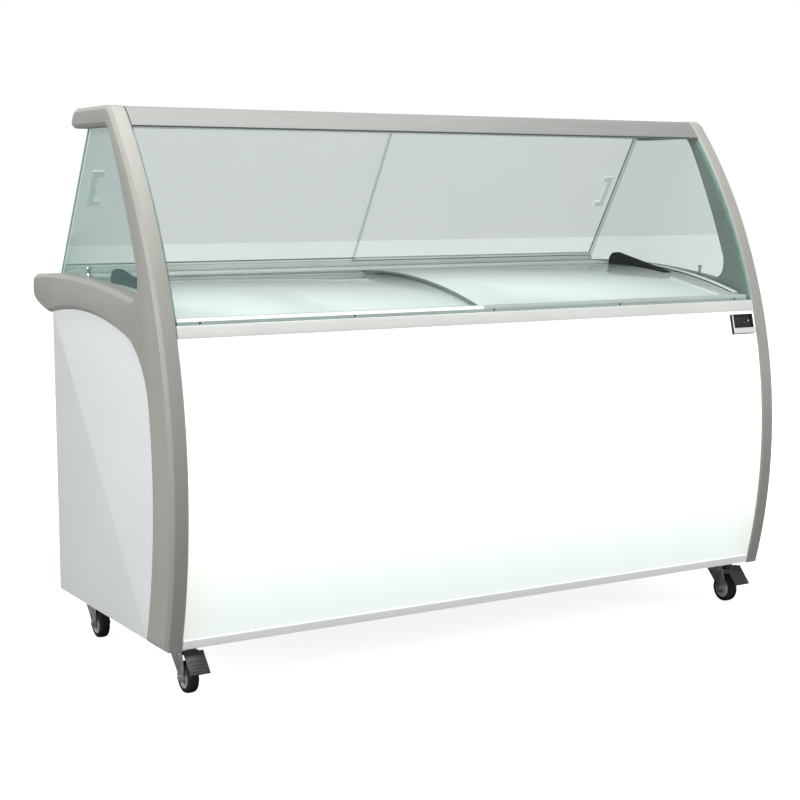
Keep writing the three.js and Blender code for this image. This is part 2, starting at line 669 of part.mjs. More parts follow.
function controllerHousing() {
  const halfWidth = CONTROLLER.width / 2;
  const halfHeight = CONTROLLER.height / 2;
  const body = block(-halfWidth, halfWidth, -1, CONTROLLER.depth, -halfHeight, halfHeight);
  const recess = block(-halfWidth + 3, halfWidth - 3, -2, WINDOW_DEPTH, -halfHeight + 15, halfHeight - 2);
  const keyway = block(
    KEY.x - KEY.width / 2 - RUNNING_GAP,
    KEY.x + KEY.width / 2 + RUNNING_GAP,
    0,
    WINDOW_DEPTH + KEY.depth + 3,
    KEY.z - KEY.height / 2 - RUNNING_GAP,
    KEY.z + KEY.height / 2 + RUNNING_GAP,
  );
  return cut(body, recess, keyway);
}

function controllerKey() {
  return block(
    KEY.x - KEY.width / 2,
    KEY.x + KEY.width / 2,
    WINDOW_DEPTH - KEY.proud,
    WINDOW_DEPTH + KEY.depth,
    KEY.z - KEY.height / 2,
    KEY.z + KEY.height / 2,
  );
}

add("controller_housing", controllerHousing(), BLACK_PLASTIC, controllerPlace);
add("controller_key", controllerKey(), WHITE_PLASTIC, controllerPlace);

// ---- Canopy -------------------------------------------------------------------------------------

const RAIL_DEPTH = 34;
const TOP_PANEL_SHEET = 3;
const TOP_PANEL_TOP = HEIGHT - 3;
const GLASS_BOTTOM = DECK_HEIGHT + GAP;
const GLASS_TOP = CANOPY_UNDERSIDE - GAP;

// Rounded aluminium profile over the front glass.
const RAIL_CREST = frontAt(HEIGHT - 2, 1);
const RAIL_BACK = RAIL_CREST[0] + RAIL_DEPTH;

function canopyFrontRail() {
  const face = frontCurve(1, CANOPY_UNDERSIDE, HEIGHT - 16, 4);
  const nose = corner(face.at(-1), RAIL_CREST, [RAIL_CREST[0] + 14, RAIL_CREST[1]], 4);
  const lipInset = GLASS_INSET + FRONT_GLASS + 4;
  const inner = frontCurve(lipInset, CANOPY_UNDERSIDE, CANOPY_UNDERSIDE + 20, 1).reverse();
  const back = [
    [RAIL_BACK, RAIL_CREST[1]],
    [RAIL_BACK, HEIGHT - 20],
  ];
  return extrudeX([...face, ...nose.slice(1), ...back, ...inner], -SPAN_X, SPAN_X);
}

const TOP_PANEL_OUT = 6.4; // its rear flange lies over the doors' top track

function canopyTopPanel() {
  const flangeFront = HEIGHT - 24;
  const flangeRear = HEIGHT - 33;
  const line = [
    [RAIL_BACK + GAP, flangeFront],
    [RAIL_BACK + GAP, TOP_PANEL_TOP],
    [slopeY(TOP_PANEL_TOP, TOP_PANEL_OUT), TOP_PANEL_TOP],
    [slopeY(flangeRear, TOP_PANEL_OUT), flangeRear],
  ];
  return extrudeX(bentSheet(line, TOP_PANEL_SHEET), -SPAN_X, SPAN_X);
}

function canopyLamp() {
  const y = RAIL_BACK + 34;
  const top = TOP_PANEL_TOP - TOP_PANEL_SHEET - GAP;
  const outline = [
    [y - 17, top],
    [y - 12, top - 16],
    [y + 12, top - 16],
    [y + 17, top],
  ];
  return extrudeX(outline, -SPAN_X + 60, SPAN_X - 60);
}

const FRONT_GLASS_BACK = GLASS_INSET + FRONT_GLASS;
const SIDE_GLASS_X = SPAN_X - SIDE_GLASS;
const SIDE_GLASS_BELOW_ARM = 14;
const LEDGE_FRONT = CASE_REAR - 70;

// The doors' grooves, as distances out of the slope; the left door runs outside the right one.
const TRACK_WALL = 2;
const TRACK = {
  outer: GAP + 0.3 + TRACK_WALL,
  outerGroove: [-DOOR_GLASS - 0.7, 0.7],
  innerGroove: [-2 * DOOR_GLASS - DOOR_GAP - 0.7, -DOOR_GLASS - DOOR_GAP + 0.7],
  inner: -2 * DOOR_GLASS - DOOR_GAP - 0.7 - TRACK_WALL,
};

function frontGlass() {
  return extrudeX(frontSheet(GLASS_INSET, FRONT_GLASS, GLASS_BOTTOM, GLASS_TOP, 16), -SPAN_X, SPAN_X);
}

// Lies against the inner face of the end frame, from below the rear arm's top edge to the top panel.
function sideGlass(sign) {
  const rearOut = TRACK.outer;
  const front = frontCurve(FRONT_GLASS_BACK + 0.6, DECK_HEIGHT + 8, GLASS_TOP, 12);
  const notch = RAIL_BACK + TOP_PANEL_SHEET + 2;
  const top = TOP_PANEL_TOP - TOP_PANEL_SHEET - 1;
  const foot = LEDGE_TOP + GAP;
  const below = [ARM_PEAK_Y, ARM_PEAK_Z - SIDE_GLASS_BELOW_ARM];
  const outline = [
    ...front,
    [notch, GLASS_TOP],
    [notch, top],
    [slopeY(top, rearOut), top],
    [slopeY(foot, rearOut), foot],
    [LEDGE_FRONT - 1, foot],
    ...domeCurve(ARM_TOP_RADIUS, ...below, LEDGE_FRONT - 1, front[0][0] + 30, 8),
  ];
  const x0 = sign < 0 ? -SPAN_X : SIDE_GLASS_X;
  return extrudeX(outline, x0, x0 + SIDE_GLASS);
}

// A turned peg that stands on the rear arm and holds the side glass.
function glassPeg() {
  const profile = [
    [0, 0],
    [6.5, 0],
    [6.5, 3],
    [4.5, 5],
    [4.5, 17],
    [6, 19],
    [6, 24],
    [4.5, 26],
    [0, 26],
  ];
  const peg = new THREE.LatheGeometry(profile.map(([r, h]) => new THREE.Vector2(r, h)), 14);
  return peg.rotateX(Math.PI / 2);
}

add("canopy_front_rail", canopyFrontRail(), ALUMINIUM);
add("canopy_top_panel", canopyTopPanel(), ALUMINIUM);
add("canopy_lamp", canopyLamp(), LIGHT_PANEL);
add("front_glass", frontGlass(), GLASS);

const PEG_FROM_CASE_FRONT = { left: 466, right: 183 };
const PEG_FROM_FRAME = 9; // the peg's axis, from the frame's inner face
for (const { side, sign } of SIDES) {
  const pegY = CASE_FRONT + PEG_FROM_CASE_FRONT[side];
  const peg = place(sign * (INNER_X + PEG_FROM_FRAME), pegY, armTop(pegY) + GAP);
  peg.rotation.x = Math.asin((ARM_PEAK_Y - pegY) / ARM_TOP_RADIUS);
  add(`side_glass_${side}`, sideGlass(sign), GLASS);
  add(`glass_clip_${side}`, glassPeg(), CHROME, peg);
}

// ---- Rear ledge, door tracks, doors -------------------------------------------------------------

// lower and upper edges of the doors, up the slope
const DOOR_FOOT_UP = TRACK_FLOOR * SLOPE_LENGTH - TRACK.inner * DOOR_SLOPE + GAP;
const DOOR_HEAD_UP = (HEIGHT - DOOR_HEAD_DROP - LEDGE_TOP) * SLOPE_LENGTH;
const DOOR_TRACK_X = SIDE_GLASS_X - 1;
const DOOR_END_X = SIDE_GLASS_X - 1.4;

// A folded box beam between the horns of the end frames, behind the lids.
function rearLedge() {
  const sheet = 3;
  const rear = REAR_Y - 6;
  const line = [
    [LEDGE_FRONT, COLLAR_TOP + GAP],
    [LEDGE_FRONT, LEDGE_TOP],
    [rear, LEDGE_TOP],
    [rear, LEDGE_TOP - 46],
    [CASE_REAR + 26, CASE_TOP],
    [CASE_REAR + 1, CASE_TOP - 4],
  ];
  return extrudeX(bentSheet(line, sheet), -SPAN_X, SPAN_X);
}

// The grooved side of a door track: out and back across both grooves, at two distances up the slope.
function trackComb(tipUp, rootUp) {
  const { outer, outerGroove, innerGroove, inner } = TRACK;
  return [
    slopePoint(tipUp, outer),
    slopePoint(tipUp, outerGroove[1]),
    slopePoint(rootUp, outerGroove[1]),
    slopePoint(rootUp, outerGroove[0]),
    slopePoint(tipUp, outerGroove[0]),
    slopePoint(tipUp, innerGroove[1]),
    slopePoint(rootUp, innerGroove[1]),
    slopePoint(rootUp, innerGroove[0]),
    slopePoint(tipUp, innerGroove[0]),
    slopePoint(tipUp, inner),
  ];
}

function doorTrackTop() {
  const back = DOOR_HEAD_UP + 6;
  const comb = trackComb(DOOR_HEAD_UP - 12, DOOR_HEAD_UP + GAP);
  const outline = [slopePoint(back, TRACK.outer), ...comb, slopePoint(back, TRACK.inner)];
  return extrudeX(outline, -DOOR_TRACK_X, DOOR_TRACK_X);
}

function doorTrackBottom() {
  const comb = trackComb(DOOR_FOOT_UP + 10, DOOR_FOOT_UP - GAP);
  const foot = LEDGE_TOP + GAP;
  const base = [
    [slopeY(foot, TRACK.inner), foot],
    [slopeY(foot, TRACK.outer), foot],
  ];
  return extrudeX([...comb, ...base], -DOOR_TRACK_X, DOOR_TRACK_X);
}

const DOOR_OUT = { left: 0, right: -DOOR_GLASS - DOOR_GAP }; // rear face of each door

function rearDoor(side, sign) {
  const out = DOOR_OUT[side];
  const outline = [
    slopePoint(DOOR_FOOT_UP, out),
    slopePoint(DOOR_HEAD_UP, out),
    slopePoint(DOOR_HEAD_UP, out - DOOR_GLASS),
    slopePoint(DOOR_FOOT_UP, out - DOOR_GLASS),
  ];
  const inner = (-sign * DOOR_OVERLAP) / 2;
  const ends = [sign * DOOR_END_X, inner].sort((a, b) => a - b);
  return extrudeX(outline, ends[0], ends[1]);
}

const PULL_UP = (DOOR_FOOT_UP + DOOR_HEAD_UP) / 2 + PULL_RISE; // middle of the pull, up the slope
const PULL_OUTER_X = SPAN_X - PULL_FROM_END;

// A square bracket, open towards the middle of the cabinet, flat on the door's rear face.
function doorPull(sign) {
  const half = PULL_LENGTH / 2;
  const tip = PULL_OUTER_X - PULL_REACH;
  const bar = PULL_OUTER_X - PULL_WIDTH;
  const outline = [
    [tip, -half],
    [PULL_OUTER_X, -half],
    [PULL_OUTER_X, half],
    [tip, half],
    [tip, half - PULL_WIDTH],
    [bar, half - PULL_WIDTH],
    [bar, PULL_WIDTH - half],
    [tip, PULL_WIDTH - half],
  ].map(([x, up]) => [sign * x, up]);
  const settings = { depth: PULL_THICKNESS, bevelEnabled: false };
  return new THREE.ExtrudeGeometry(outlineShape(outline), settings).translate(0, 0, -PULL_THICKNESS);
}

add("rear_ledge", rearLedge(), WHITE_PANEL);
add("door_track_top", doorTrackTop(), ALUMINIUM);
add("door_track_bottom", doorTrackBottom(), ALUMINIUM);
for (const { side, sign } of SIDES) {
  add(`rear_door_${side}`, rearDoor(side, sign), GLASS);
  const pull = place(0, ...slopePoint(PULL_UP, DOOR_OUT[side] + GAP));
  pull.rotation.x = Math.PI / 2 + Math.atan(DOOR_SLOPE);
  add(`door_pull_${side}`, doorPull(sign), WHITE_PLASTIC, pull);
}

// ---- Lids and their tracks ----------------------------------------------------------------------

const LID_PEAK_Y = DECK_EDGE_Y + LID_PEAK_BEHIND_DECK_EDGE;
const LID_PEAK_Z = DECK_HEIGHT + LID_RISE;
const LID_FRONT_Y = DECK_EDGE_Y + LID_BEHIND_DECK_EDGE;
const LID_REAR_Y = LEDGE_FRONT - LID_FROM_LEDGE;
const LID_END_X = SIDE_GLASS_X - 2.4;
const LID_TRACK_X = SIDE_GLASS_X - 1;
const LID_TRACK_GRIP = 8; // how much of a lid's edge lies in its groove

// Height of the right lid's upper surface, and of surfaces above or below it.
const lidTop = (y, above = 0) => domeHeight(LID_RADIUS, LID_PEAK_Y, LID_PEAK_Z, y) + above;

function lidCurve(above, from, to, steps) {
  return domeCurve(LID_RADIUS, LID_PEAK_Y, LID_PEAK_Z + above, from, to, steps);
}

// A sheet that follows the lid, between two heights above its upper surface.
function lidSheet(bottom, top, from, to, steps) {
  return [...lidCurve(bottom, from, to, steps), ...lidCurve(top, to, from, steps)];
}

// The two grooves, one above the other, from their mouth to their closed end and back.
function lidGrooves(mouthY, endY) {
  const floor = -LID_GLASS - RUNNING_GAP;
  return [-LID_STEP, 0].flatMap((level) => [
    [mouthY, lidTop(mouthY, level + floor)],
    [endY, lidTop(endY, level + floor)],
    [endY, lidTop(endY, level + RUNNING_GAP)],
    [mouthY, lidTop(mouthY, level + RUNNING_GAP)],
  ]);
}

function lidTrackFront() {
  const mouth = LID_FRONT_Y + LID_TRACK_GRIP;
  const end = LID_FRONT_Y - RUNNING_GAP;
  const foot = COLLAR_TOP + GAP;
  const backInset = GLASS_INSET + FRONT_GLASS + 1.5;
  const top = lidTop(mouth, 2);
  const bottom = DECK_HEIGHT + GAP;
  const outline = [
    frontAt(bottom, backInset),
    [DECK_REAR + GAP, bottom],
    [DECK_REAR + GAP, foot],
    [mouth, foot],
    ...lidGrooves(mouth, end),
    [mouth, top],
    frontAt(top, backInset),
  ];
  return extrudeX(outline, -LID_TRACK_X, LID_TRACK_X);
}

function lidTrackRear() {
  const mouth = LID_REAR_Y - LID_TRACK_GRIP;
  const end = LID_REAR_Y + RUNNING_GAP;
  const foot = COLLAR_TOP + GAP;
  const back = LEDGE_FRONT - GAP;
  const web = back - 6;
  const top = lidTop(mouth, 2.5);
  const outline = [
    [back, foot],
    [web, foot],
    [web, lidTop(end, -LID_STEP - LID_GLASS - 6)],
    [mouth, lidTop(end, -LID_STEP - LID_GLASS - 3.5)],
    ...lidGrooves(mouth, end),
    [mouth, top],
    [back, top],
  ];
  return extrudeX(outline, -LID_TRACK_X, LID_TRACK_X);
}

// A wedge to push the lid by: low in front, high and rounded behind.
function lidGrip() {
  const rear = LEDGE_FRONT - GRIP_FROM_LEDGE;
  const front = rear - GRIP_LENGTH;
  const back = [
    [rear, lidTop(rear, 10)],
    [rear - 5, lidTop(rear, 22)],
    [rear - 17, lidTop(rear, GRIP_HEIGHT - 2)],
    [rear - 34, lidTop(rear, GRIP_HEIGHT)],
  ];
  return [...lidCurve(GAP, front, rear, 8), ...back, [front, lidTop(front, 3)]];
}

add("lid_track_front", lidTrackFront(), WHITE_PLASTIC);
add("lid_track_rear", lidTrackRear(), WHITE_PLASTIC);
for (const { side, sign } of SIDES) {
  const level = place(0, 0, sign < 0 ? -LID_STEP : 0);
  const across = (inner, outer) => [sign * inner, sign * outer].sort((a, b) => a - b);
  const lidInner = sign < 0 ? LID_SEAM_FROM_MIDDLE - LID_OVERLAP : -LID_SEAM_FROM_MIDDLE;
  const glass = lidSheet(-LID_GLASS, 0, LID_FRONT_Y, LID_REAR_Y, 20);
  const barEnd = LID_TRACK_GRIP + 8;
  const bar = lidSheet(GAP, LID_BAR_HEIGHT, LID_FRONT_Y + barEnd, LID_REAR_Y - barEnd, 16);
  const gripMiddle = LID_END_X - GRIP_FROM_END - GRIP_WIDTH / 2;
  add(`lid_${side}`, extrudeX(glass, ...across(lidInner, LID_END_X)), GLASS, level);
  const barOuter = LID_END_X - 2;
  add(`lid_bar_${side}`, extrudeX(bar, ...across(barOuter - LID_BAR_WIDTH, barOuter)), WHITE_PLASTIC, level);
  add(
    `lid_grip_${side}`,
    extrudeX(lidGrip(), ...across(gripMiddle - GRIP_WIDTH / 2, gripMiddle + GRIP_WIDTH / 2)),
    BLACK_PLASTIC,
    level,
  );
}

// ---- Machine room, behind and below the tank ----------------------------------------------------

const ROOM_FLOOR = BASE_BOTTOM + BASE_SHEET + GAP;
const CONDENSER = { width: 340, depth: 46, height: 260, fromGrille: 24, pitch: 17, fin: 4, core: 14 };
const CONDENSER_REAR = CASE_REAR - CONDENSER.fromGrille;
const MACHINE_X = (GRILLE_X0 + GRILLE_X1) / 2; // middle of the condenser and the fan
const FAN = { radius: 105, hub: 24, width: 22, blades: 5, fromCondenser: 44 };
const FAN_Y = CONDENSER_REAR - CONDENSER.depth - FAN.fromCondenser;
const FAN_Z = BASE_BOTTOM + 169;
const COMPRESSOR_FROM_FAN = 236;
const SHAFT_RADIUS = 3;

function machineGrille() {
  const rear = CASE_REAR + GAP;
  const plate = block(GRILLE_X0, GRILLE_X1, rear, rear + GRILLE.sheet, GRILLE_BOTTOM, GRILLE_TOP);
  const first = GRILLE_BOTTOM + GRILLE.frame + 4;
  const slotX0 = GRILLE_X0 + GRILLE.frame + 2;
  const slotX1 = GRILLE_X1 - GRILLE.frame - 2;
  const slots = Array.from({ length: 10 }, (_, i) => {
    const z = first + i * GRILLE.pitch;
    return block(slotX0, slotX1, rear - 1, rear + 9, z, z + GRILLE.slot);
  });
  return cut(plate, ...slots);
}

function condenser() {
  const { width, depth, pitch, fin, core } = CONDENSER;
  const x0 = MACHINE_X - width / 2;
  const y1 = CONDENSER_REAR;
  const y0 = y1 - depth;
  const middle = (y0 + y1) / 2;
  const count = Math.floor((width - fin) / pitch);
  const rearSide = [];
  const frontSide = [];
  for (let i = 0; i <= count; i += 1) {
    const x = x0 + i * pitch;
    rearSide.push([x, middle + core / 2], [x, y1], [x + fin, y1], [x + fin, middle + core / 2]);
    frontSide.push([x, middle - core / 2], [x, y0], [x + fin, y0], [x + fin, middle - core / 2]);
  }
  const shape = outlineShape([...rearSide, ...frontSide.reverse()]);
  const fins = new THREE.ExtrudeGeometry(shape, { depth: CONDENSER.height, bevelEnabled: false });
  return fins.translate(0, 0, ROOM_FLOOR);
}

function compressor() {
  const profile = [
    [0, 4],
    [68, 4],
    [78, 16],
    [80, 60],
    [78, 110],
    [66, 140],
    [40, 156],
    [0, 162],
  ];
  const can = new THREE.LatheGeometry(profile.map(([r, h]) => new THREE.Vector2(r, h)), 24);
  return join(can.rotateX(Math.PI / 2), block(-95, 95, -62, 62, 0, 6));
}

function fanMotor() {
  const body = cylinder("y", 34, 60, 20).translate(0, -34, 0);
  const shaft = cylinder("y", SHAFT_RADIUS, 22, 12).translate(0, 4, 0);
  const post = block(-20, 20, -56, -50, ROOM_FLOOR - FAN_Z, 0);
  const foot = block(-34, 34, -84, -40, ROOM_FLOOR - FAN_Z, ROOM_FLOOR - FAN_Z + 4);
  return join(body, shaft, post, foot);
}

function fanBlade() {
  const hub = cylinder("y", FAN.hub, FAN.width, 20);
  const blades = Array.from({ length: FAN.blades }, (_, i) => {
    const blade = block(-26, 26, -1.25, 1.25, FAN.hub - 6, FAN.radius);
    return blade.rotateZ(0.42).rotateY((i * 2 * Math.PI) / FAN.blades);
  });
  const bore = cylinder("y", SHAFT_RADIUS + RUNNING_GAP, FAN.width, 12).translate(0, -8, 0);
  return cut(join(hub, ...blades), bore);
}

const fanPlace = place(MACHINE_X, FAN_Y, FAN_Z);
const compressorPlace = place(MACHINE_X - 20, FAN_Y - COMPRESSOR_FROM_FAN, ROOM_FLOOR);
add("machine_grille", machineGrille(), BLACK_METAL);
add("condenser", condenser(), ALUMINIUM);
add("compressor", compressor(), BLACK_METAL, compressorPlace);
add("fan_motor", fanMotor(), BLACK_METAL, place(0, -12, 0, fanPlace));
add("fan_blade", fanBlade(), BLACK_PLASTIC, fanPlace);

// ---- Rear fittings: power inlet with a rocker switch, drain plug --------------------------------

const INLET = { x: 336 - INNER_X, z: BASE_BOTTOM + 114, width: 96, height: 44, depth: 26 };
const ROCKER = { x: 26, width: 22, height: 14, pin: 2 };

function powerInlet() {
  const box = block(-INLET.width / 2, INLET.width / 2, 0, INLET.depth, -INLET.height / 2, INLET.height / 2);
  const plugWell = block(-42, 2, 6, INLET.depth + 1, -14, 14);
  const rockerWell = block(ROCKER.x - 12, ROCKER.x + 12, 8, INLET.depth + 1, -17, 17);
  const pinHole = cylinder("x", ROCKER.pin + RUNNING_GAP, 30, 12).translate(ROCKER.x, 18, 0);
  const pins = [-32, -20, -8].map((x) => block(x - 1.5, x + 1.5, 5, 20, -4, 4));
  return join(cut(box, plugWell, rockerWell, pinHole), ...pins);
}

// Turns on its pin; its own origin is the pin's axis.
function powerSwitch() {
  const outline = [
    [-3, -6],
    [7, -13],
    [5.5, 0],
    [9.5, 13],
    [-1, 8],
  ];
  const rocker = extrudeX(outline, -11, 11);
  return join(rocker, cylinder("x", ROCKER.pin, 28, 12));
}

function drainPlug() {
  const head = cylinder("y", 17, 8, 20).translate(0, 4 + GAP, 0);
  const rim = cylinder("y", DRAIN.radius, 26, 20).translate(0, -12, 0);
  const tab = block(-2.5, 2.5, 4, 24, -12, 12);
  return join(head, rim, tab);
}

const inletPlace = place(INLET.x, CASE_REAR + GAP, INLET.z);
add("power_inlet", powerInlet(), BLACK_PLASTIC, inletPlace);
add("power_switch", powerSwitch(), BLACK_PLASTIC, place(ROCKER.x, 18, 0, inletPlace));
add("drain_plug", drainPlug(), RUBBER, place(DRAIN.x, CASE_REAR, DRAIN.z));

// ---- Casters ------------------------------------------------------------------------------------

const WHEEL_RADIUS = WHEEL_DIAMETER / 2;
const CROWN_TOP = PAD_BOTTOM - RUNNING_GAP;
const CROWN_THICKNESS = 7;
const FORK_INSIDE = WHEEL_WIDTH / 2 + 2;
const PEDAL_PIN = { y: 4 - CASTER_TRAIL, z: WHEEL_DIAMETER + 17, radius: 3 };

// Stands on the floor, under its swivel axis; the wheel trails towards -Y.
function casterFork(braked) {
  const crownBottom = CROWN_TOP - CROWN_THICKNESS;
  const crown = cylinder("z", CROWN_RADIUS, CROWN_THICKNESS, 24);
  crown.translate(0, 0, (CROWN_TOP + crownBottom) / 2);
  const outside = FORK_INSIDE + FORK_SHEET;
  const bridge = block(-outside, outside, -22, 20, crownBottom - 2, crownBottom + 2);
  const leg = [
    [-45, crownBottom + 2],
    [20, crownBottom + 2],
    [22, crownBottom - 6],
    ...arc(-CASTER_TRAIL, WHEEL_RADIUS, 13, 0, -Math.PI, 6),
  ];
  const legs = [-outside, FORK_INSIDE].map((x) => extrudeX(leg, x, x + FORK_SHEET));
  const axleLength = 2 * outside + 6;
  const axle = cylinder("x", AXLE_DIAMETER / 2, axleLength, 12).translate(0, -CASTER_TRAIL, WHEEL_RADIUS);
  const fork = join(crown, bridge, ...legs, axle);
  if (!braked) return fork;
  const pinHole = cylinder("x", PEDAL_PIN.radius + RUNNING_GAP, 60, 12).translate(0, PEDAL_PIN.y, PEDAL_PIN.z);
  return cut(fork, pinHole);
}

function casterWheel() {
  const half = WHEEL_WIDTH / 2;
  const bore = AXLE_DIAMETER / 2 + RUNNING_GAP;
  const side = [
    [bore, half],
    [11, half],
    [13, half - 5],
    [24, half - 5],
    [26, half - 1],
    [WHEEL_RADIUS - 4, half - 1],
    [WHEEL_RADIUS, half - 5],
  ];
  const otherSide = side.map(([r, x]) => [r, -x]).reverse();
  const profile = [...side, ...otherSide, side[0]].map(([r, x]) => new THREE.Vector2(r, x));
  return new THREE.LatheGeometry(profile.reverse(), 28).rotateZ(Math.PI / 2);
}

// A bent plate pressed by the foot; its own origin is the pin's axis.
function brakePedal() {
  const plate = [
    [-36, 15],
    [-77, -30],
    [-74, -33],
    [-33, 11],
  ];
  const arm = [
    [4, 5],
    [-33, 15],
    [-36, 13],
    [-30, 7],
    [4, -5],
  ];
  const pin = cylinder("x", PEDAL_PIN.radius, 2 * (FORK_INSIDE + FORK_SHEET) + 4, 12);
  return join(
    extrudeX(plate, -PEDAL_WIDTH / 2, PEDAL_WIDTH / 2),
    extrudeX(arm, 2 - FORK_INSIDE, FORK_INSIDE - 2),
    pin,
  );
}

for (const { corner: name, x, y, braked } of CASTERS) {
  const caster = place(x, y, 0);
  add(`caster_fork_${name}`, casterFork(braked), GALVANISED, caster);
  add(`caster_wheel_${name}`, casterWheel(), RUBBER, place(0, -CASTER_TRAIL, WHEEL_RADIUS, caster));
  if (braked) {
    const pedal = place(0, PEDAL_PIN.y, PEDAL_PIN.z, caster);
    add(`brake_pedal_${name}`, brakePedal(), BLACK_METAL, pedal);
  }
}

export default cabinet;
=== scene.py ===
import json
import math

import bmesh
import bpy
from mathutils import Matrix, Vector


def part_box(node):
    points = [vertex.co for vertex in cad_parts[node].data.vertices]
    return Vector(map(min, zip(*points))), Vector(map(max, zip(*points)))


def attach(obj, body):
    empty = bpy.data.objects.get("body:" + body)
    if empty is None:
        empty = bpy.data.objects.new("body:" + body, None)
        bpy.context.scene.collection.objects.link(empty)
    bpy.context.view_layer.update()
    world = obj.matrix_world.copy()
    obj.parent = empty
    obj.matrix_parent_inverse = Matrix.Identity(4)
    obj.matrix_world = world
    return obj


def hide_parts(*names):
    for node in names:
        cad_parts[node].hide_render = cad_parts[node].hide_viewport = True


MM = 0.001
SHARP = math.radians(28)  # an outline's point that turns more than this is a corner

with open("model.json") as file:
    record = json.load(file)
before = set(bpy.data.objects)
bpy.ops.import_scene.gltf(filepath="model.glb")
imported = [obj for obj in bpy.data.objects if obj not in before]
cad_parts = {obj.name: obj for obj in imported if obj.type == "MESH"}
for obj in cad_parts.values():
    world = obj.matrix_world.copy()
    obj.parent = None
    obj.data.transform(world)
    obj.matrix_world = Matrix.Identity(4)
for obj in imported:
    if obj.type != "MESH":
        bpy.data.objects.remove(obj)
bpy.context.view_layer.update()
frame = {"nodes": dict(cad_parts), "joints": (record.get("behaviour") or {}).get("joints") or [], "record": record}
NODES = frame["nodes"]
BODY_OF = {node: body for body, nodes in frame["record"]["behaviour"]["bodies"].items() for node in nodes}
JOINTS = {joint["name"]: joint for joint in frame["joints"]}
SIDES = (("left", -1), ("right", 1))


# ---- Materials ----------------------------------------------------------------------------------


class Paint:
    """A node material and short ways to wire it; patterns lie in the piece's own metres."""

    def __init__(self, name, color, roughness, metallic=0.0, **sockets):
        self.material = bpy.data.materials.new(name)
        self.material.use_nodes = True
        self.tree = self.material.node_tree
        self.surface = self.tree.nodes["Principled BSDF"]
        self.surface.inputs["Base Color"].default_value = (*color, 1)
        self.surface.inputs["Roughness"].default_value = roughness
        self.surface.inputs["Metallic"].default_value = metallic
        for socket, value in sockets.items():
            self.surface.inputs[socket.replace("_", " ")].default_value = value
        self.place = self.node("ShaderNodeTexCoord").outputs["Object"]

    def node(self, kind, **values):
        made = self.tree.nodes.new(kind)
        for key, value in values.items():
            setattr(made, key, value)
        return made

    def link(self, output, target):
        self.tree.links.new(output, target)

    def stretched(self, scale):
        mapping = self.node("ShaderNodeMapping")
        mapping.inputs["Scale"].default_value = scale
        self.link(self.place, mapping.inputs["Vector"])
        return mapping.outputs["Vector"]

    def noise(self, scale, detail=3.0, stretch=(1, 1, 1)):
        texture = self.node("ShaderNodeTexNoise")
        texture.inputs["Scale"].default_value = scale
        texture.inputs["Detail"].default_value = detail
        self.link(self.stretched(stretch), texture.inputs["Vector"])
        return texture.outputs["Fac"]

    def cells(self, scale, stretch=(1, 1, 1)):
        texture = self.node("ShaderNodeTexVoronoi")
        texture.inputs["Scale"].default_value = scale
        self.link(self.stretched(stretch), texture.inputs["Vector"])
        return texture.outputs["Color"]

    def ramp(self, value, stops):
        ramp = self.node("ShaderNodeValToRGB")
        points = ramp.color_ramp.elements
        while len(points) < len(stops):
            points.new(0.5)
        for point, (position, color) in zip(points, stops):
            point.position = position
            point.color = (*color, 1)
        self.link(value, ramp.inputs["Fac"])
        return ramp.outputs["Color"]

    def between(self, value, low, high):
        spread = self.node("ShaderNodeMapRange")
        spread.inputs["From Min"].default_value = 0.25
        spread.inputs["From Max"].default_value = 0.75
        spread.inputs["To Min"].default_value = low
        spread.inputs["To Max"].default_value = high
        self.link(value, spread.inputs["Value"])
        return spread.outputs["Result"]

    def math(self, operation, *values, clamp=False):
        made = self.node("ShaderNodeMath", operation=operation, use_clamp=clamp)
        for value, socket in zip(values, made.inputs):
            if isinstance(value, (int, float)):
                socket.default_value = value
            else:
                self.link(value, socket)
        return made.outputs["Value"]

    def color_from(self, value, low, high):
        self.link(self.ramp(value, [(0.3, low), (0.7, high)]), self.surface.inputs["Base Color"])
        return self

    def roughness_from(self, value, low, high):
        self.link(self.between(value, low, high), self.surface.inputs["Roughness"])
        return self

    def bump(self, value, height, strength=1.0):
        bump = self.node("ShaderNodeBump")
        bump.inputs["Strength"].default_value = strength
        bump.inputs["Distance"].default_value = height
        self.link(value, bump.inputs["Height"])
        self.link(bump.outputs["Normal"], self.surface.inputs["Normal"])
        return self


def tinted(color, factor):
    return tuple(min(1.0, c * factor) for c in color)


def moulded(name, color, roughness, grain=420, height=0.00012):
    """Moulded or textured plastic: fine grain, slight mottling, uneven gloss."""
    paint = Paint(name, color, roughness)
    paint.color_from(paint.noise(5, 4), tinted(color, 0.95), tinted(color, 1.04))
    paint.roughness_from(paint.noise(24, 3), roughness - 0.06, roughness + 0.07)
    return paint.bump(paint.noise(grain, 2), height, 0.35).material


def powder_coat(name, color, roughness=0.4):
    """Sprayed sheet metal: orange peel and a hint of tone."""
    paint = Paint(name, color, roughness, Coat_Weight=0.25, Coat_Roughness=0.2)
    paint.color_from(paint.noise(2.2, 3), tinted(color, 0.97), tinted(color, 1.02))
    paint.roughness_from(paint.noise(60, 2), roughness - 0.05, roughness + 0.05)
    return paint.bump(paint.noise(520, 2), 0.0001, 0.2).material


def brushed(name, color, roughness=0.3, grain=(6, 700, 700), metallic=1.0, glow=0.0):
    """Metal brushed along one direction; glow stands for the light it takes from a lit panel."""
    paint = Paint(name, color, roughness, metallic, Anisotropic=0.3, Emission_Strength=glow)
    paint.surface.inputs["Emission Color"].default_value = (1, 1, 1, 1)
    streaks = paint.noise(1.0, 5, grain)
    paint.color_from(streaks, tinted(color, 0.9), tinted(color, 1.06))
    paint.roughness_from(streaks, roughness - 0.07, roughness + 0.1)
    return paint.bump(streaks, 0.00004, 0.3).material


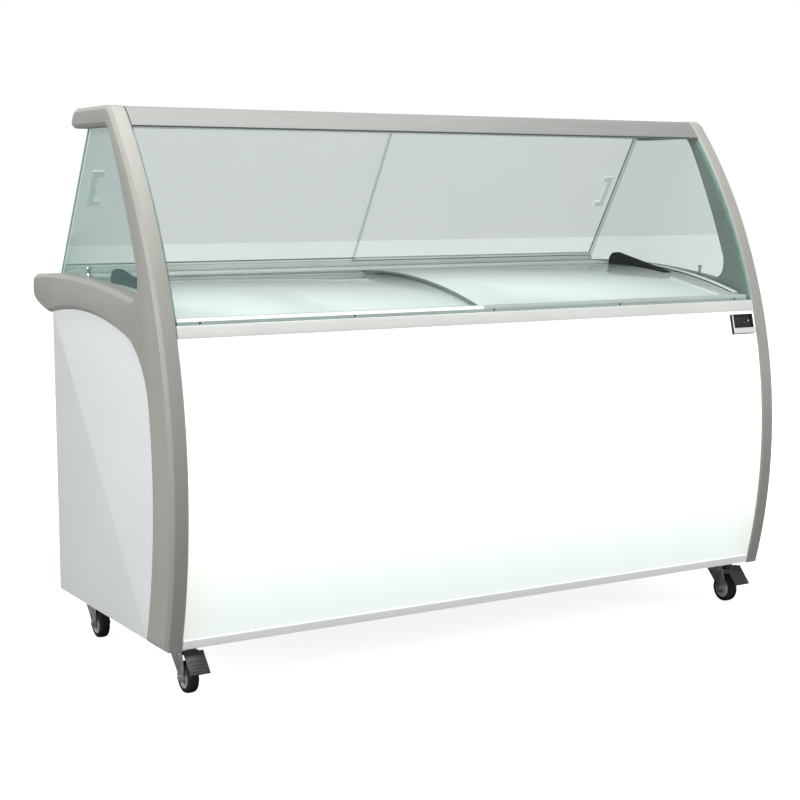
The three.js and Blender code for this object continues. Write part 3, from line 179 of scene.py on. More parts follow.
def zinc(name, color=(0.6, 0.62, 0.63)):
    """Zinc plating, with its faint spangle."""
    paint = Paint(name, color, 0.35, 0.95)
    spangle = paint.cells(130)
    paint.color_from(spangle, tinted(color, 0.82), tinted(color, 1.12))
    paint.roughness_from(paint.noise(90, 3), 0.26, 0.5)
    return paint.bump(paint.noise(300, 2), 0.00008, 0.3).material


def polished(name, color=(0.86, 0.87, 0.88)):
    paint = Paint(name, color, 0.08, 1.0)
    return paint.roughness_from(paint.noise(140, 3), 0.04, 0.16).material


def rubber(name, color=(0.014, 0.014, 0.015)):
    """Rubber, or a matt moulding, with a dusty bloom."""
    paint = Paint(name, color, 0.8, Specular_IOR_Level=0.2)
    paint.color_from(paint.noise(38, 5), color, tinted(color, 2.2))
    paint.roughness_from(paint.noise(70, 3), 0.62, 0.9)
    return paint.bump(paint.noise(500, 2), 0.0002, 0.5).material


def clear_glass(name, tint, haze, haze_color=(0.82, 0.9, 0.88)):
    """A pane: what is behind it shows through, tinted, under Fresnel reflections and a faint film."""
    paint = Paint(name, haze_color, 0.04)
    paint.roughness_from(paint.noise(3.5, 4), 0.02, 0.07)
    clear = paint.node("ShaderNodeBsdfTransparent")
    clear.inputs["Color"].default_value = (*tint, 1)
    slant = paint.node("ShaderNodeLayerWeight")
    grazing = paint.math("POWER", slant.outputs["Facing"], 5)
    film = paint.between(paint.noise(2.4, 2), 0.04 + haze * 0.7, 0.04 + haze * 1.3)
    shine = paint.math("ADD", grazing, film, clamp=True)
    leaving = paint.node("ShaderNodeNewGeometry").outputs["Backfacing"]
    mix = paint.node("ShaderNodeMixShader")
    paint.link(paint.math("MULTIPLY", shine, paint.math("SUBTRACT", 1, leaving)), mix.inputs["Fac"])
    paint.link(clear.outputs["BSDF"], mix.inputs[1])
    paint.link(paint.surface.outputs["BSDF"], mix.inputs[2])
    paint.link(mix.outputs["Shader"], paint.tree.nodes["Material Output"].inputs["Surface"])
    return paint.material


def glass_edge(name, color=(0.2, 0.45, 0.38)):
    """The ground edge of a pane, where its green shows."""
    paint = Paint(name, color, 0.25, Transmission_Weight=0.35)
    paint.color_from(paint.noise(30, 3, (1, 1, 1)), tinted(color, 0.85), tinted(color, 1.25))
    return paint.roughness_from(paint.noise(300, 3), 0.2, 0.4).material


def glow(name, color, strength, soft=0.0):
    """A lit plastic skin, a little uneven."""
    paint = Paint(name, (0.9, 0.9, 0.9), 0.3, Emission_Strength=strength)
    paint.roughness_from(paint.noise(40, 3), 0.24, 0.36)
    tone = paint.ramp(paint.noise(1.4, 1), [(0.25, tinted(color, 1 - soft)), (0.75, color)])
    paint.link(tone, paint.surface.inputs["Emission Color"])
    return paint.material


def white_with_painted_glow(name):
    """White plastic with a painted glow: its even white emission stands for light and keeps it bright behind a pane.
    """
    paint = Paint(name, (0.88, 0.9, 0.89), 0.35, Emission_Strength=0.5)
    paint.color_from(paint.noise(40, 2), (0.84, 0.86, 0.85), (0.9, 0.92, 0.91))
    paint.surface.inputs["Emission Color"].default_value = (1, 1, 1, 1)
    return paint.roughness_from(paint.noise(200, 2), 0.28, 0.42).material


WARM_GREY = (0.405, 0.40, 0.365)
MATERIALS = {
    "frame": moulded("end_frame_grey", WARM_GREY, 0.42),
    "side": powder_coat("side_panel_white", (0.9, 0.925, 0.925), 0.38),
    "case": powder_coat("case_white", (0.74, 0.77, 0.77)),
    "cream": moulded("trim_cream", (0.80, 0.81, 0.775), 0.36, 600, 0.00006),
    # painted glow: the door pulls and the left track lip are white plastic that glows a little
    "pull": white_with_painted_glow("pull_white_painted_glow"),
    "white": moulded("white_plastic", (0.84, 0.86, 0.85), 0.35, 500, 0.00008),
    "silver": brushed("satin_aluminium", (0.62, 0.62, 0.60), 0.42),
    "rail": brushed("satin_rail", (0.82, 0.83, 0.81), 0.45, metallic=0.15),
    "canopy_rail": brushed("satin_canopy_rail", (0.32, 0.325, 0.31), 0.55, metallic=0.15),
    # painted light: the foot rail glows a little for the light it takes from the lit panel
    "foot_rail": brushed("satin_foot_rail_painted_glow", (0.95, 0.96, 0.95), 0.5, metallic=0.1, glow=0.2),
    "track": moulded("track_grey_green", (0.5, 0.54, 0.52), 0.4, 500, 0.00006),
    "track_pale": moulded("track_pale_green", (0.68, 0.74, 0.72), 0.4, 500, 0.00006),
    "lid_edge": moulded("lid_edge_grey_green", (0.24, 0.29, 0.28), 0.5, 500, 0.00006),
    "silver_up": brushed("satin_aluminium_upright", (0.66, 0.65, 0.63), 0.32, (700, 6, 700)),
    "liner": brushed("stucco_liner", (0.75, 0.76, 0.77), 0.36, (60, 60, 60)),
    "zinc": zinc("zinc_plate"),
    "chrome": polished("chrome"),
    "black": moulded("black_plastic", (0.022, 0.023, 0.026), 0.4, 500, 0.0001),
    "black_metal": powder_coat("black_coat", (0.02, 0.021, 0.022), 0.42),
    "grip": rubber("grip_black", (0.004, 0.006, 0.007)),
    "hub": moulded("wheel_hub_grey", (0.5, 0.51, 0.52), 0.38, 600, 0.00008),
    "tyre": rubber("tyre_black"),
    "gasket": rubber("gasket_black", (0.02, 0.021, 0.02)),
    "foam": moulded("rigid_foam", (0.78, 0.7, 0.45), 0.85, 220, 0.0006),
    "copper": brushed("copper", (0.72, 0.38, 0.25), 0.3, (60, 60, 60)),
    "front_glass": clear_glass("front_glass", (0.955, 0.965, 0.96), 0.0, (0.3, 0.33, 0.32)),
    "side_glass": clear_glass("side_glass", (0.84, 0.86, 0.845), 0.14, (0.38, 0.62, 0.59)),
    "door_glass": clear_glass("door_glass", (0.84, 0.86, 0.855), 0.07, (0.66, 0.76, 0.75)),
    "lid_glass": clear_glass("lid_glass", (0.88, 0.95, 0.94), 0.72, (0.87, 0.945, 0.94)),
    "glass_edge": glass_edge("glass_edge"),
    "screen": moulded("screen_dark", (0.016, 0.015, 0.012), 0.6, 300, 0.00002),
    "tube": glow("lamp_tube", (1.0, 0.99, 0.95), 2.0),
}


def lit_panel():
    """Opal acrylic lit from behind: brightest in the middle, cooler below, creamier towards the ends."""
    low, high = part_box("front_light_panel")
    paint = Paint("lit_panel", (0.68, 0.69, 0.68), 0.22, Emission_Strength=0.9, Coat_Weight=0.2)
    paint.roughness_from(paint.noise(30, 3), 0.18, 0.28)
    axes = paint.node("ShaderNodeSeparateXYZ")
    paint.link(paint.place, axes.inputs["Vector"])

    def share(axis, start, end):
        spread = paint.node("ShaderNodeMapRange", interpolation_type="SMOOTHSTEP")
        spread.inputs["From Min"].default_value = start
        spread.inputs["From Max"].default_value = end
        paint.link(axes.outputs[axis], spread.inputs["Value"])
        return spread.outputs["Result"]

    upright = paint.ramp(
        share("Z", low.z, high.z),
        [(0.0, (0.63, 0.69, 0.70)), (0.2, (0.84, 0.88, 0.89)), (0.5, (1, 1, 1)), (1.0, (0.97, 1, 1))],
    )
    for start, end in ((low.x, low.x + 0.11), (high.x, high.x - 0.09)):
        edge = paint.ramp(share("X", start, end), [(0.0, (0.93, 0.92, 0.80)), (1.0, (1, 1, 1))])
        blend = paint.node("ShaderNodeMix", data_type="RGBA", blend_type="MULTIPLY")
        blend.inputs["Factor"].default_value = 1
        paint.link(upright, blend.inputs["A"])
        paint.link(edge, blend.inputs["B"])
        upright = blend.outputs["Result"]
    paint.link(upright, paint.surface.inputs["Emission Color"])
    return paint.bump(paint.noise(900, 1), 0.00003, 0.1).material


MATERIALS["lit"] = lit_panel()


# ---- Shapes -------------------------------------------------------------------------------------


def finish_mesh(name, mesh, materials, smooth_angle=35):
    """An object from a bmesh, with its faces smooth up to an angle."""
    bmesh.ops.recalc_face_normals(mesh, faces=mesh.faces)
    for face in mesh.faces:
        face.smooth = True
    limit = math.radians(smooth_angle)
    for edge in mesh.edges:
        if len(edge.link_faces) == 2:
            edge.smooth = edge.calc_face_angle(math.pi) < limit
    data = bpy.data.meshes.new(name)
    mesh.to_mesh(data)
    mesh.free()
    for material in materials:
        data.materials.append(material)
    made = bpy.data.objects.new(name, data)
    bpy.context.scene.collection.objects.link(made)
    return made


def merged_copy(node):
    mesh = bmesh.new()
    mesh.from_mesh(NODES[node].data)
    bmesh.ops.remove_doubles(mesh, verts=mesh.verts, dist=0.01 * MM)
    return mesh


def section(node, end):
    """The outline, as points in Y and Z, of a node's flat end face: end 0 is at its low X, end 1 at its high X."""
    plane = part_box(node)[end].x
    mesh = merged_copy(node)
    at_end = {f for f in mesh.faces if all(abs(v.co.x - plane) < 0.02 * MM for v in f.verts)}
    after = {}
    for face in at_end:
        for loop in face.loops:
            others = [f for f in loop.edge.link_faces if f is not face]
            if not others or others[0] not in at_end:
                after[loop.vert] = loop.link_loop_next.vert
    points = []
    vertex = next(iter(after))
    while vertex in after:
        points.append(Vector((vertex.co.y, vertex.co.z)))
        vertex = after.pop(vertex)
    mesh.free()
    if turning_area(points) < 0:
        points.reverse()
    return points


def turning_area(points):
    return sum(a.cross(b) for a, b in zip(points, points[1:] + points[:1])) / 2


def turn_at(points, i):
    before = points[i] - points[i - 1]
    after = points[(i + 1) % len(points)] - points[i]
    return before.angle_signed(after, 0.0)


def smoothed(points, parts=4):
    """The outline with its arcs drawn finer; corners and straight stretches stay."""
    count = len(points)
    turns = [turn_at(points, i) for i in range(count)]

    def tangent(i, along):
        if abs(turns[i]) > SHARP:
            return along
        before = points[i] - points[i - 1]
        after = points[(i + 1) % count] - points[i]
        if before.length > 2.5 * after.length:
            return before.normalized()
        if after.length > 2.5 * before.length:
            return after.normalized()
        return (before.normalized() + after.normalized()).normalized()

    fine = []
    for i in range(count):
        start, end = points[i], points[(i + 1) % count]
        chord = end - start
        along = chord.normalized()
        leave, arrive = tangent(i, along), tangent((i + 1) % count, along)
        straight = max(abs(leave.cross(along)), abs(arrive.cross(along))) < 0.004
        for k in range(1 if straight else parts):
            t = k / parts
            h10 = t * (1 - t) ** 2
            h11 = t * t * (t - 1)
            h01 = t * t * (3 - 2 * t)
            fine.append(start.lerp(end, h01) + (leave * h10 + arrive * h11) * chord.length)
    return fine


def eased(points, radius, steps=3):
    """The outline with its sharp corners rounded."""
    count = len(points)
    out = []
    for i in range(count):
        turn = turn_at(points, i)
        if abs(turn) < SHARP:
            out.append(points[i])
            continue
        before = points[i - 1] - points[i]
        after = points[(i + 1) % count] - points[i]
        reach = min(radius * math.tan(min(abs(turn), 2.8) / 2), 0.45 * before.length, 0.45 * after.length)
        start = points[i] + before.normalized() * reach
        end = points[i] + after.normalized() * reach
        for k in range(steps + 1):
            t = k / steps
            out.append(start * (1 - t) ** 2 + points[i] * 2 * t * (1 - t) + end * t * t)
    return out


def crossings(outline, y):
    """The heights where an outline crosses a depth."""
    for a, b in zip(outline, outline[1:] + outline[:1]):
        if (a.x - y) * (b.x - y) < 0:
            yield a.y + (b.y - a.y) * (y - a.x) / (b.x - a.x)


def inset(points, distance):
    """The outline moved inwards."""
    count = len(points)
    moved = []
    for i in range(count):
        before = (points[i] - points[i - 1]).normalized()
        after = (points[(i + 1) % count] - points[i]).normalized()
        normal = Vector((-before.y - after.y, before.x + after.x))
        normal = normal.normalized() if normal.length > 1e-6 else Vector((-after.y, after.x))
        reach = max(normal.dot(Vector((-after.y, after.x))), 0.5)
        moved.append(points[i] + normal * (distance / reach))
    return moved


def loft(rings, materials, name, cap_material=0, smooth_angle=35):
    """A closed skin through rings of points, capped at both ends."""
    mesh = bmesh.new()
    rows = [[mesh.verts.new(point) for point in ring] for ring in rings]
    for low, high in zip(rows, rows[1:]):
        for i in range(len(low)):
            j = (i + 1) % len(low)
            mesh.faces.new((low[i], low[j], high[j], high[i]))
    for row in (rows[0][::-1], rows[-1]):
        mesh.faces.new(row).material_index = cap_material
    return finish_mesh(name, mesh, materials, smooth_angle)


def round_end(radius, steps=4):
    """How an end's edge is rounded over: how far along and how far in, from the flat end to the full outline."""
    angles = [math.pi / 2 * k / steps for k in range(steps + 1 if radius else 1)]
    return [(radius * (1 - math.cos(a)), radius * (1 - math.sin(a))) for a in angles]


def chamfered_end(size, easing, steps=3):
    """The same for a flat chamfer with eased corners."""
    bends = (
        ((0, size + easing), (0, size), (easing, size - easing)),
        ((size - easing, easing), (size, 0), (size + easing, 0)),
    )
    out = []
    for start, knee, end in bends:
        for k in range(steps + 1):
            t = k / steps
            weights = ((1 - t) ** 2, 2 * t * (1 - t), t * t)
            out.append(tuple(sum(w * p[i] for w, p in zip(weights, (start, knee, end))) for i in (0, 1)))
    return out


def along_x(name, outline, x0, x1, materials, ends=(0.001, 0.001), steps=4, cap_material=0):
    """An outline in Y and Z drawn out along X; each end has an edge radius or its own steps."""
    rings = []
    for x, sign, end in ((x0, 1, ends[0]), (x1, -1, ends[1])):
        ring_set = []
        for along, inward in end if isinstance(end, list) else round_end(end, steps):
            ring = inset(outline, inward) if inward > 1e-7 else outline
            ring_set.append([(x + sign * along, p.x, p.y) for p in ring])
        rings += ring_set if sign > 0 else ring_set[::-1]
    return loft(rings, materials, name, cap_material)


def settle(piece, node=None, body=None, replace=True):
    """Rides a piece on a node's body and, when it replaces a node, hides the node so the piece stands for it."""
    if node and replace:
        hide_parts(node)
    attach(piece, body or BODY_OF[node])
    return piece


def profile_piece(node, material, corner=0.0008, ends=(0.001, 0.001), end=0, parts=4):
    """Stands for a node that is one outline along X: finer arcs, eased corners, rounded ends."""
    low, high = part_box(node)
    outline = eased(smoothed(section(node, end), parts), corner)
    made = along_x(f"{node}_skin", outline, low.x, high.x, [MATERIALS[material]], ends)
    return settle(made, node)


def refined(node, material, width=0.001, segments=2, angle=35):
    """Stands for a node of any shape: its flats made whole and its edges rounded."""
    mesh = merged_copy(node)
    bmesh.ops.dissolve_limit(mesh, angle_limit=math.radians(0.6), verts=mesh.verts, edges=mesh.edges)
    made = finish_mesh(f"{node}_skin", mesh, [MATERIALS[material]], angle)
    bevel = made.modifiers.new("rounded_edges", "BEVEL")
    bevel.width = width
    bevel.segments = segments
    bevel.limit_method = "ANGLE"
    bevel.angle_limit = math.radians(angle)
    bevel.harden_normals = True
    return settle(made, node)


def lathe(name, profile, materials, segments=48, smooth_angle=32, material_at=None):
    """A turned solid about Z from (radius, height) points; it starts and ends on the axis, or closes on itself."""
    mesh = bmesh.new()
    closed = profile[0] == profile[-1]
    points = profile[:-1] if closed else profile
    rows = []
    for radius, height in points:
        if radius < 1e-6:
            rows.append([mesh.verts.new((0, 0, height))])
            continue
        angles = [2 * math.pi * k / segments for k in range(segments)]
        rows.append([mesh.verts.new((radius * math.cos(a), radius * math.sin(a), height)) for a in angles])
    pairs = list(zip(rows, rows[1:])) + ([(rows[-1], rows[0])] if closed else [])
    for index, (low, high) in enumerate(pairs):
        for k in range(segments):
            n = (k + 1) % segments
            if len(low) == 1:
                corners = (low[0], high[k], high[n])
            elif len(high) == 1:
                corners = (low[k], low[n], high[0])
            else:
                corners = (low[k], low[n], high[n], high[k])
            face = mesh.faces.new(corners)
            if material_at:
                face.material_index = material_at(index)
    return finish_mesh(name, mesh, materials, smooth_angle)


TO_X = Matrix.Rotation(math.radians(90), 4, "Y")
TO_REAR = Matrix.Rotation(math.radians(-90), 4, "X")


def put(piece, place, turn=None):
    """Moves a piece's mesh to a place in the row frame, after turning it."""
    piece.data.transform(Matrix.Translation(place) @ (turn or Matrix.Identity(4)))
    return piece


def joined(name, pieces):
    """One piece from several, each keeping its materials."""
    with bpy.context.temp_override(
        active_object=pieces[0], selected_editable_objects=pieces, selected_objects=pieces
    ):
        bpy.ops.object.join()
    pieces[0].name = name
    return pieces[0]


def screw(name, place, turn, radius=0.005, material="chrome"):
    """A domed screw head with a cross recess."""
    dome = [(0, radius * 0.42), (radius * 0.55, radius * 0.36), (radius * 0.9, radius * 0.16), (radius, 0), (0, 0)]
    head = lathe(name, dome, [MATERIALS[material], MATERIALS["black"]], 24)
    slots = bmesh.new()
    for angle in (0, math.pi / 2):
        bar = bmesh.ops.create_cube(slots, size=1.0)["verts"]
        bmesh.ops.scale(slots, vec=(radius * 0.95, radius * 0.2, radius * 0.1), verts=bar)
        bmesh.ops.rotate(slots, cent=(0, 0, 0), matrix=Matrix.Rotation(angle, 3, "Z"), verts=bar)
        bmesh.ops.translate(slots, vec=(0, 0, radius * 0.4), verts=bar)
    recess = finish_mesh(f"{name}_recess", slots, [MATERIALS["black"]])
    return put(joined(name, [head, recess]), place, turn)


def hexagon(name, across, height, material="zinc"):
    """A hexagon head with a rounded top, standing on Z = 0."""
    radius = across / math.sqrt(3)
    profile = [(0, 0), (radius, 0), (radius, height * 0.8), (radius * 0.86, height), (0, height)]
    return lathe(name, profile, [MATERIALS[material]], 6, 20)


# ---- End frames, side panels --------------------------------------------------------------------

OUTER_CHAMFER = chamfered_end(9 * MM, 1.2 * MM)
INNER_CHAMFER = chamfered_end(3.5 * MM, 0.8 * MM)
CAP_PROFILE = [(0, 0.5 * MM), (5 * MM, 0.3 * MM), (6 * MM, -0.6 * MM), (0, -0.6 * MM)]


def end_frame(side, sign):
    """A moulded frame with chamfered edges, its side panel, and the caps over its screws."""
    node = f"end_frame_{side}"
    low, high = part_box(node)
    outwards = slice(None, None, -sign)
    outline = smoothed(section(node, 0 if sign > 0 else 1), 4)
    chamfers = (OUTER_CHAMFER, INNER_CHAMFER)[outwards]
    settle(along_x(f"{node}_skin", outline, low.x, high.x, [MATERIALS["frame"]], chamfers), node)
    panel_ends = (1.5 * MM, 0.5 * MM)[outwards]
    profile_piece(f"side_panel_{side}", "side", 1.5 * MM, panel_ends, 1 if sign > 0 else 0)
    outer_x = high.x if sign > 0 else low.x
    turn_out = Matrix.Rotation(math.radians(90 * sign), 4, "Y")
    caps = [(low.y + 121 * MM, 803 * MM), (high.y - 60 * MM, high.z - 442 * MM)]
    for number, (y, z) in enumerate(caps):
        dome = lathe(f"frame_screw_cap_{side}_{number}", CAP_PROFILE, [MATERIALS["frame"]])
        settle(put(dome, (outer_x, y, z), turn_out), body="cabinet")


for side, sign in SIDES:
    end_frame(side, sign)


# ---- Front: lit panel, trims, controller --------------------------------------------------------

refined("front_light_panel", "lit", 0.6 * MM)
profile_piece("front_top_trim", "cream", 1.2 * MM, (0.4 * MM, 0.4 * MM))
profile_piece("bottom_front_rail", "foot_rail", 1.0 * MM, (0.4 * MM, 0.4 * MM))
profile_piece("canopy_front_rail", "canopy_rail", 1.5 * MM, (0.4 * MM, 0.4 * MM))
profile_piece("canopy_top_panel", "rail", 0.8 * MM, (0.3 * MM, 0.3 * MM))
profile_piece("canopy_lamp", "tube", 2 * MM)
refined("light_tray", "white", 0.3 * MM)
refined("light_tube", "tube", 0.5 * MM)


def controller():
    """Bezel, dark window with a faint symbol, silver lip and edge, one key."""
    refined("controller_housing", "screen", 0.8 * MM, 3)
    refined("controller_key", "black", 0.8 * MM, 3)
    low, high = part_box("controller_housing")
    key_low, key_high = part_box("controller_key")
    lean = -math.asin(JOINTS["key_press"]["axis"][2])
    face_turn = Matrix.Rotation(-lean, 4, "X")
    width = high.x - low.x
    height = 54 * MM
    middle = Vector(((low.x + high.x) / 2, low.y + 3.9 * MM, high.z - 0.5 * height * math.cos(lean)))

    def plate(name, x, z, size_x, size_z, depth, out, material, corner):
        """A flat plate on the controller's face, its corners rounded."""
        points = [Vector((-size_x / 2, -size_z / 2)), Vector((size_x / 2, -size_z / 2))]
        points += [Vector((size_x / 2, size_z / 2)), Vector((-size_x / 2, size_z / 2))]
        ring = eased(points, corner, 5)
        levels = ((0, 0), (-depth * 0.7, 0), (-depth, depth * 0.3))
        rings = [[(p.x, y, p.y) for p in inset(ring, cut)] for y, cut in levels]
        made = loft(rings, [MATERIALS[material]], name)
        made.data.transform(Matrix.Translation((x, -out, z)))
        return settle(put(made, middle, face_turn), body="cabinet")

    plate("controller_lip", 0, -18.5 * MM, width - 2 * MM, 15 * MM, 2.0 * MM, 1.0 * MM, "rail", 1.5 * MM)
    plate("controller_edge", -37 * MM, 4 * MM, 3 * MM, height - 12 * MM, 1.6 * MM, 1.0 * MM, "rail", 1 * MM)
    plate("controller_window", -19 * MM, 7 * MM, 30 * MM, 22 * MM, 1.2 * MM, -3.6 * MM, "screen", 2 * MM)
    plate("controller_symbol", 22 * MM, 9 * MM, 5 * MM, 5 * MM, 0.4 * MM, -3.8 * MM, "hub", 2 * MM)


controller()


# ---- Glass --------------------------------------------------------------------------------------


def pane(node, material, edge_faces, ends=(0.6 * MM, 0.6 * MM), parts=3, end=0, cap=1):
    """A glass pane along X, with green ground edges where edge_faces says, and at its ends if cap is 1."""
    low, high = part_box(node)
    outline = smoothed(section(node, end), parts)
    materials = [MATERIALS[material], MATERIALS["glass_edge"]]
    made = along_x(f"{node}_skin", outline, low.x, high.x, materials, ends, 2, cap_material=cap)
    for face in made.data.polygons:
        if edge_faces(face, low, high):
            face.material_index = 1
    return settle(made, node)


def thin_in_profile(share):
    """Picks the faces at a pane's top and bottom edges."""

    def picks(face, low, high):
        return face.center.z < low.z + share or face.center.z > high.z - share

    return picks


def square_to_x(face, low, high):
    return abs(face.normal.x) < 0.3


def square_ends(face, low, high):
    return abs(face.normal.x) > 0.3


pane("front_glass", "front_glass", thin_in_profile(1.2 * MM))
for side, sign in SIDES:
    made = pane(f"side_glass_{side}", "side_glass", square_to_x)
    for face in made.data.polygons:
        if abs(face.normal.x) > 0.9:
            face.material_index = 0
    pane(f"rear_door_{side}", "door_glass", thin_in_profile(0), parts=1, cap=0)
    refined(f"door_pull_{side}", "pull", 1.6 * MM, 4)

profile_piece("door_track_top", "white", 0.4 * MM, (0.3 * MM, 0.3 * MM), parts=1)
profile_piece("door_track_bottom", "white", 0.4 * MM, (0.3 * MM, 0.3 * MM), parts=1)
profile_piece("rear_ledge", "side", 2.5 * MM, (0.5 * MM, 0.5 * MM), parts=1)

glass_low, glass_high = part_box("front_glass")


def front_arc_y(z):
    """Depth of the front glass's outer face at a height, from its own outline."""
    return min(crossings([Vector((p.y, p.x)) for p in section("front_glass", 0)], z))


bolt_z = glass_low.z + 4.5 * MM
for number, x in enumerate((-796 * MM, -398 * MM, 0.0, 398 * MM, 796 * MM)):
    name = f"glass_bolt_{number}"
    profile = [(0, 1.4 * MM), (1.8 * MM, 1.1 * MM), (2.7 * MM, 0.2 * MM), (2.7 * MM, 0), (0, 0)]
    bolt = lathe(name, profile, [MATERIALS["gasket"]], 24)
    turn = Matrix.Rotation(math.radians(90 + 16), 4, "X")
    settle(put(bolt, (x, front_arc_y(bolt_z), bolt_z), turn), body="cabinet")


def strip(name, points, x0, x1, material, body="cabinet", corner=0.3 * MM):
    made = along_x(name, eased([Vector(p) for p in points], corner), x0, x1, [MATERIALS[material]], (0, 0))
    return settle(made, body=body)


rail_low, rail_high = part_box("canopy_front_rail")
seal_y = front_arc_y(glass_high.z - 1.5 * MM)
strip(
    "canopy_glass_seal",
    [
        (seal_y - 1.4 * MM, glass_high.z - 3.2 * MM),
        (seal_y + 1 * MM, glass_high.z - 3.2 * MM),
        (seal_y + 3.2 * MM, glass_high.z + 0.2 * MM),
        (seal_y + 0.6 * MM, glass_high.z + 0.2 * MM),
    ],
    rail_low.x,
    rail_high.x,
    "lid_edge",
)
CLIP_PROFILE = [
    (0, 0),
    (6.4 * MM, 0),
    (6.5 * MM, 0.4 * MM),
    (6.5 * MM, 2.6 * MM),
    (6.0 * MM, 3.2 * MM),
    (4.6 * MM, 4.6 * MM),
    (4.4 * MM, 6 * MM),
    (4.4 * MM, 16.5 * MM),
    (4.8 * MM, 18 * MM),
    (5.9 * MM, 19 * MM),
    (6.1 * MM, 20 * MM),
    (6.1 * MM, 23.6 * MM),
    (5.6 * MM, 24.8 * MM),
    (4.2 * MM, 25.7 * MM),
    (2.2 * MM, 26 * MM),
    (0, 26 * MM),
]


def glass_clip(side):
    """A turned peg that leans with the arm it stands on."""
    node = f"glass_clip_{side}"
    low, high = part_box(node)
    rise = NODES[node].matrix_world.to_quaternion() @ Vector((0, 0, 1))
    lean = Matrix.Rotation(-math.atan2(rise.y, rise.z), 4, "X")
    clip = lathe(f"{node}_skin", CLIP_PROFILE, [MATERIALS["chrome"]], 32)
    put(clip, (0, 0, 0), lean)
    heights = [vertex.co.z for vertex in clip.data.vertices]
    depths = [vertex.co.y for vertex in clip.data.vertices]
    middle = Vector((0, (min(depths) + max(depths)) / 2, (min(heights) + max(heights)) / 2))
    settle(put(clip, (low + high) / 2 - middle), node)


for side, _ in SIDES:
    glass_clip(side)


# ---- Lids ---------------------------------------------------------------------------------------


def lid(side, sign):
    """A pane, the bar along its outer end, and the trim on its inner edge."""
    node = f"lid_{side}"
    low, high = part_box(node)
    pane(node, "lid_glass", square_ends)
    profile_piece(f"lid_bar_{side}", "track_pale", 1.2 * MM, (2.5 * MM, 2.5 * MM), parts=3)
    bar = smoothed(section(f"lid_bar_{side}", 0), 3)
    wrapped = [point - Vector((0, 5.9 * MM)) for point in bar]
    inner = high.x if sign < 0 else low.x
    ends = sorted((inner + sign * LID_TRIM_WIDTH, inner - sign * 0.6 * MM))
    trim = along_x(f"lid_trim_{side}", eased(wrapped, 0.8 * MM), *ends, [MATERIALS["lid_edge"]], (0.5 * MM, 0.5 * MM))
    settle(trim, body=f"lid_{side}")


LID_TRIM_WIDTH = 2.2 * MM
for side, sign in SIDES:
    lid(side, sign)


def grip(side):
    """A moulded wedge, low in front and high and round behind, with finger ribs across its back."""
    node = f"lid_grip_{side}"
    low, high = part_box(node)
    outline = smoothed(section(node, 0), 3)
    length = high.y - low.y
    middle = (low.x + high.x) / 2
    stations = 30
    mesh = bmesh.new()
    rows = []
    for i in range(stations + 1):
        share = i / stations
        y = low.y + length * min(max(share, 0.004), 0.996)
        hits = sorted(crossings(outline, y))
        bottom, top = hits[0], hits[-1]
        half = (high.x - low.x) / 2 * (0.62 + 0.38 * math.sin(math.pi * min(share * 0.75 + 0.12, 0.5)) ** 0.7)
        if share > 0.93:
            half *= math.sqrt(max(1 - ((share - 0.93) / 0.075) ** 2, 0.18))
        rib = 0.7 * MM * max(0.0, math.sin(share * 60)) if 0.55 < share < 0.9 else 0
        row = []
        for k in range(17):
            angle = math.pi * k / 16
            flat = 0.55
            x = -math.copysign(abs(math.cos(angle)) ** flat, math.cos(angle)) * half
            rise = math.sin(angle) ** flat
            row.append(mesh.verts.new((middle + x, y, bottom + (top - bottom - rib * rise) * rise)))
        rows.append(row)
    for a, b in zip(rows, rows[1:]):
        for k in range(17):
            n = (k + 1) % 17
            mesh.faces.new((a[k], a[n], b[n], b[k]))
    mesh.faces.new(rows[0][::-1])
    mesh.faces.new(rows[-1])
    made = finish_mesh(f"{node}_skin", mesh, [MATERIALS["grip"]], 50)
    return settle(made, node)


for side, _ in SIDES:
    grip(side)

profile_piece("lid_track_front", "track", 0.5 * MM, (0.3 * MM, 0.3 * MM), parts=1)
profile_piece("lid_track_rear", "white", 0.5 * MM, (0.3 * MM, 0.3 * MM), parts=1)


def track_lip():
    """Cappings over the upper half of the front track's face: before the left lid a glowing white strip, a painted
    highlight for the light the left lid's front edge catches; pale before the right.
    """
    outline = section("lid_track_front", 0)
    low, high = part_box("lid_track_front")
    crest = max(outline, key=lambda p: p.y - p.x)
    foot = min(outline, key=lambda p: p.x)
    middle = crest.lerp(foot, 0.55)
    out = Vector((foot.y - crest.y, crest.x - foot.x)).normalized() * 0.5 * MM
    points = [crest - out * 0.4, middle - out * 0.4, middle + out, crest + out]
    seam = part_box("lid_right")[0].x
    # painted highlight: a glowing white strip along the left lid's front edge
    strip("lid_track_lip_left_painted_highlight", points, low.x, seam, "pull", corner=0.1 * MM)
    strip("lid_track_lip_right", points, seam, high.x, "track_pale", corner=0.1 * MM)


track_lip()


# ---- Body, tank, machine room -------------------------------------------------------------------

refined("base_frame", "zinc", 0.8 * MM)
refined("outer_case", "case", 0.7 * MM)
refined("insulation_foam", "foam", 1 * MM)
refined("inner_liner", "liner", 1.5 * MM, 3)
refined("evaporator_wrap", "copper", 0.8 * MM)
refined("top_collar", "white", 0.8 * MM)
refined("machine_grille", "black_metal", 0.8 * MM, 3)
refined("condenser", "silver_up", 0.4 * MM, 1)
refined("compressor", "black_metal", 1.5 * MM, 3)
refined("fan_motor", "black_metal", 0.8 * MM)
refined("fan_blade", "black", 0.5 * MM)
refined("power_inlet", "black", 1.2 * MM, 3)
refined("power_switch", "black", 0.8 * MM, 3)
refined("drain_plug", "gasket", 0.8 * MM)

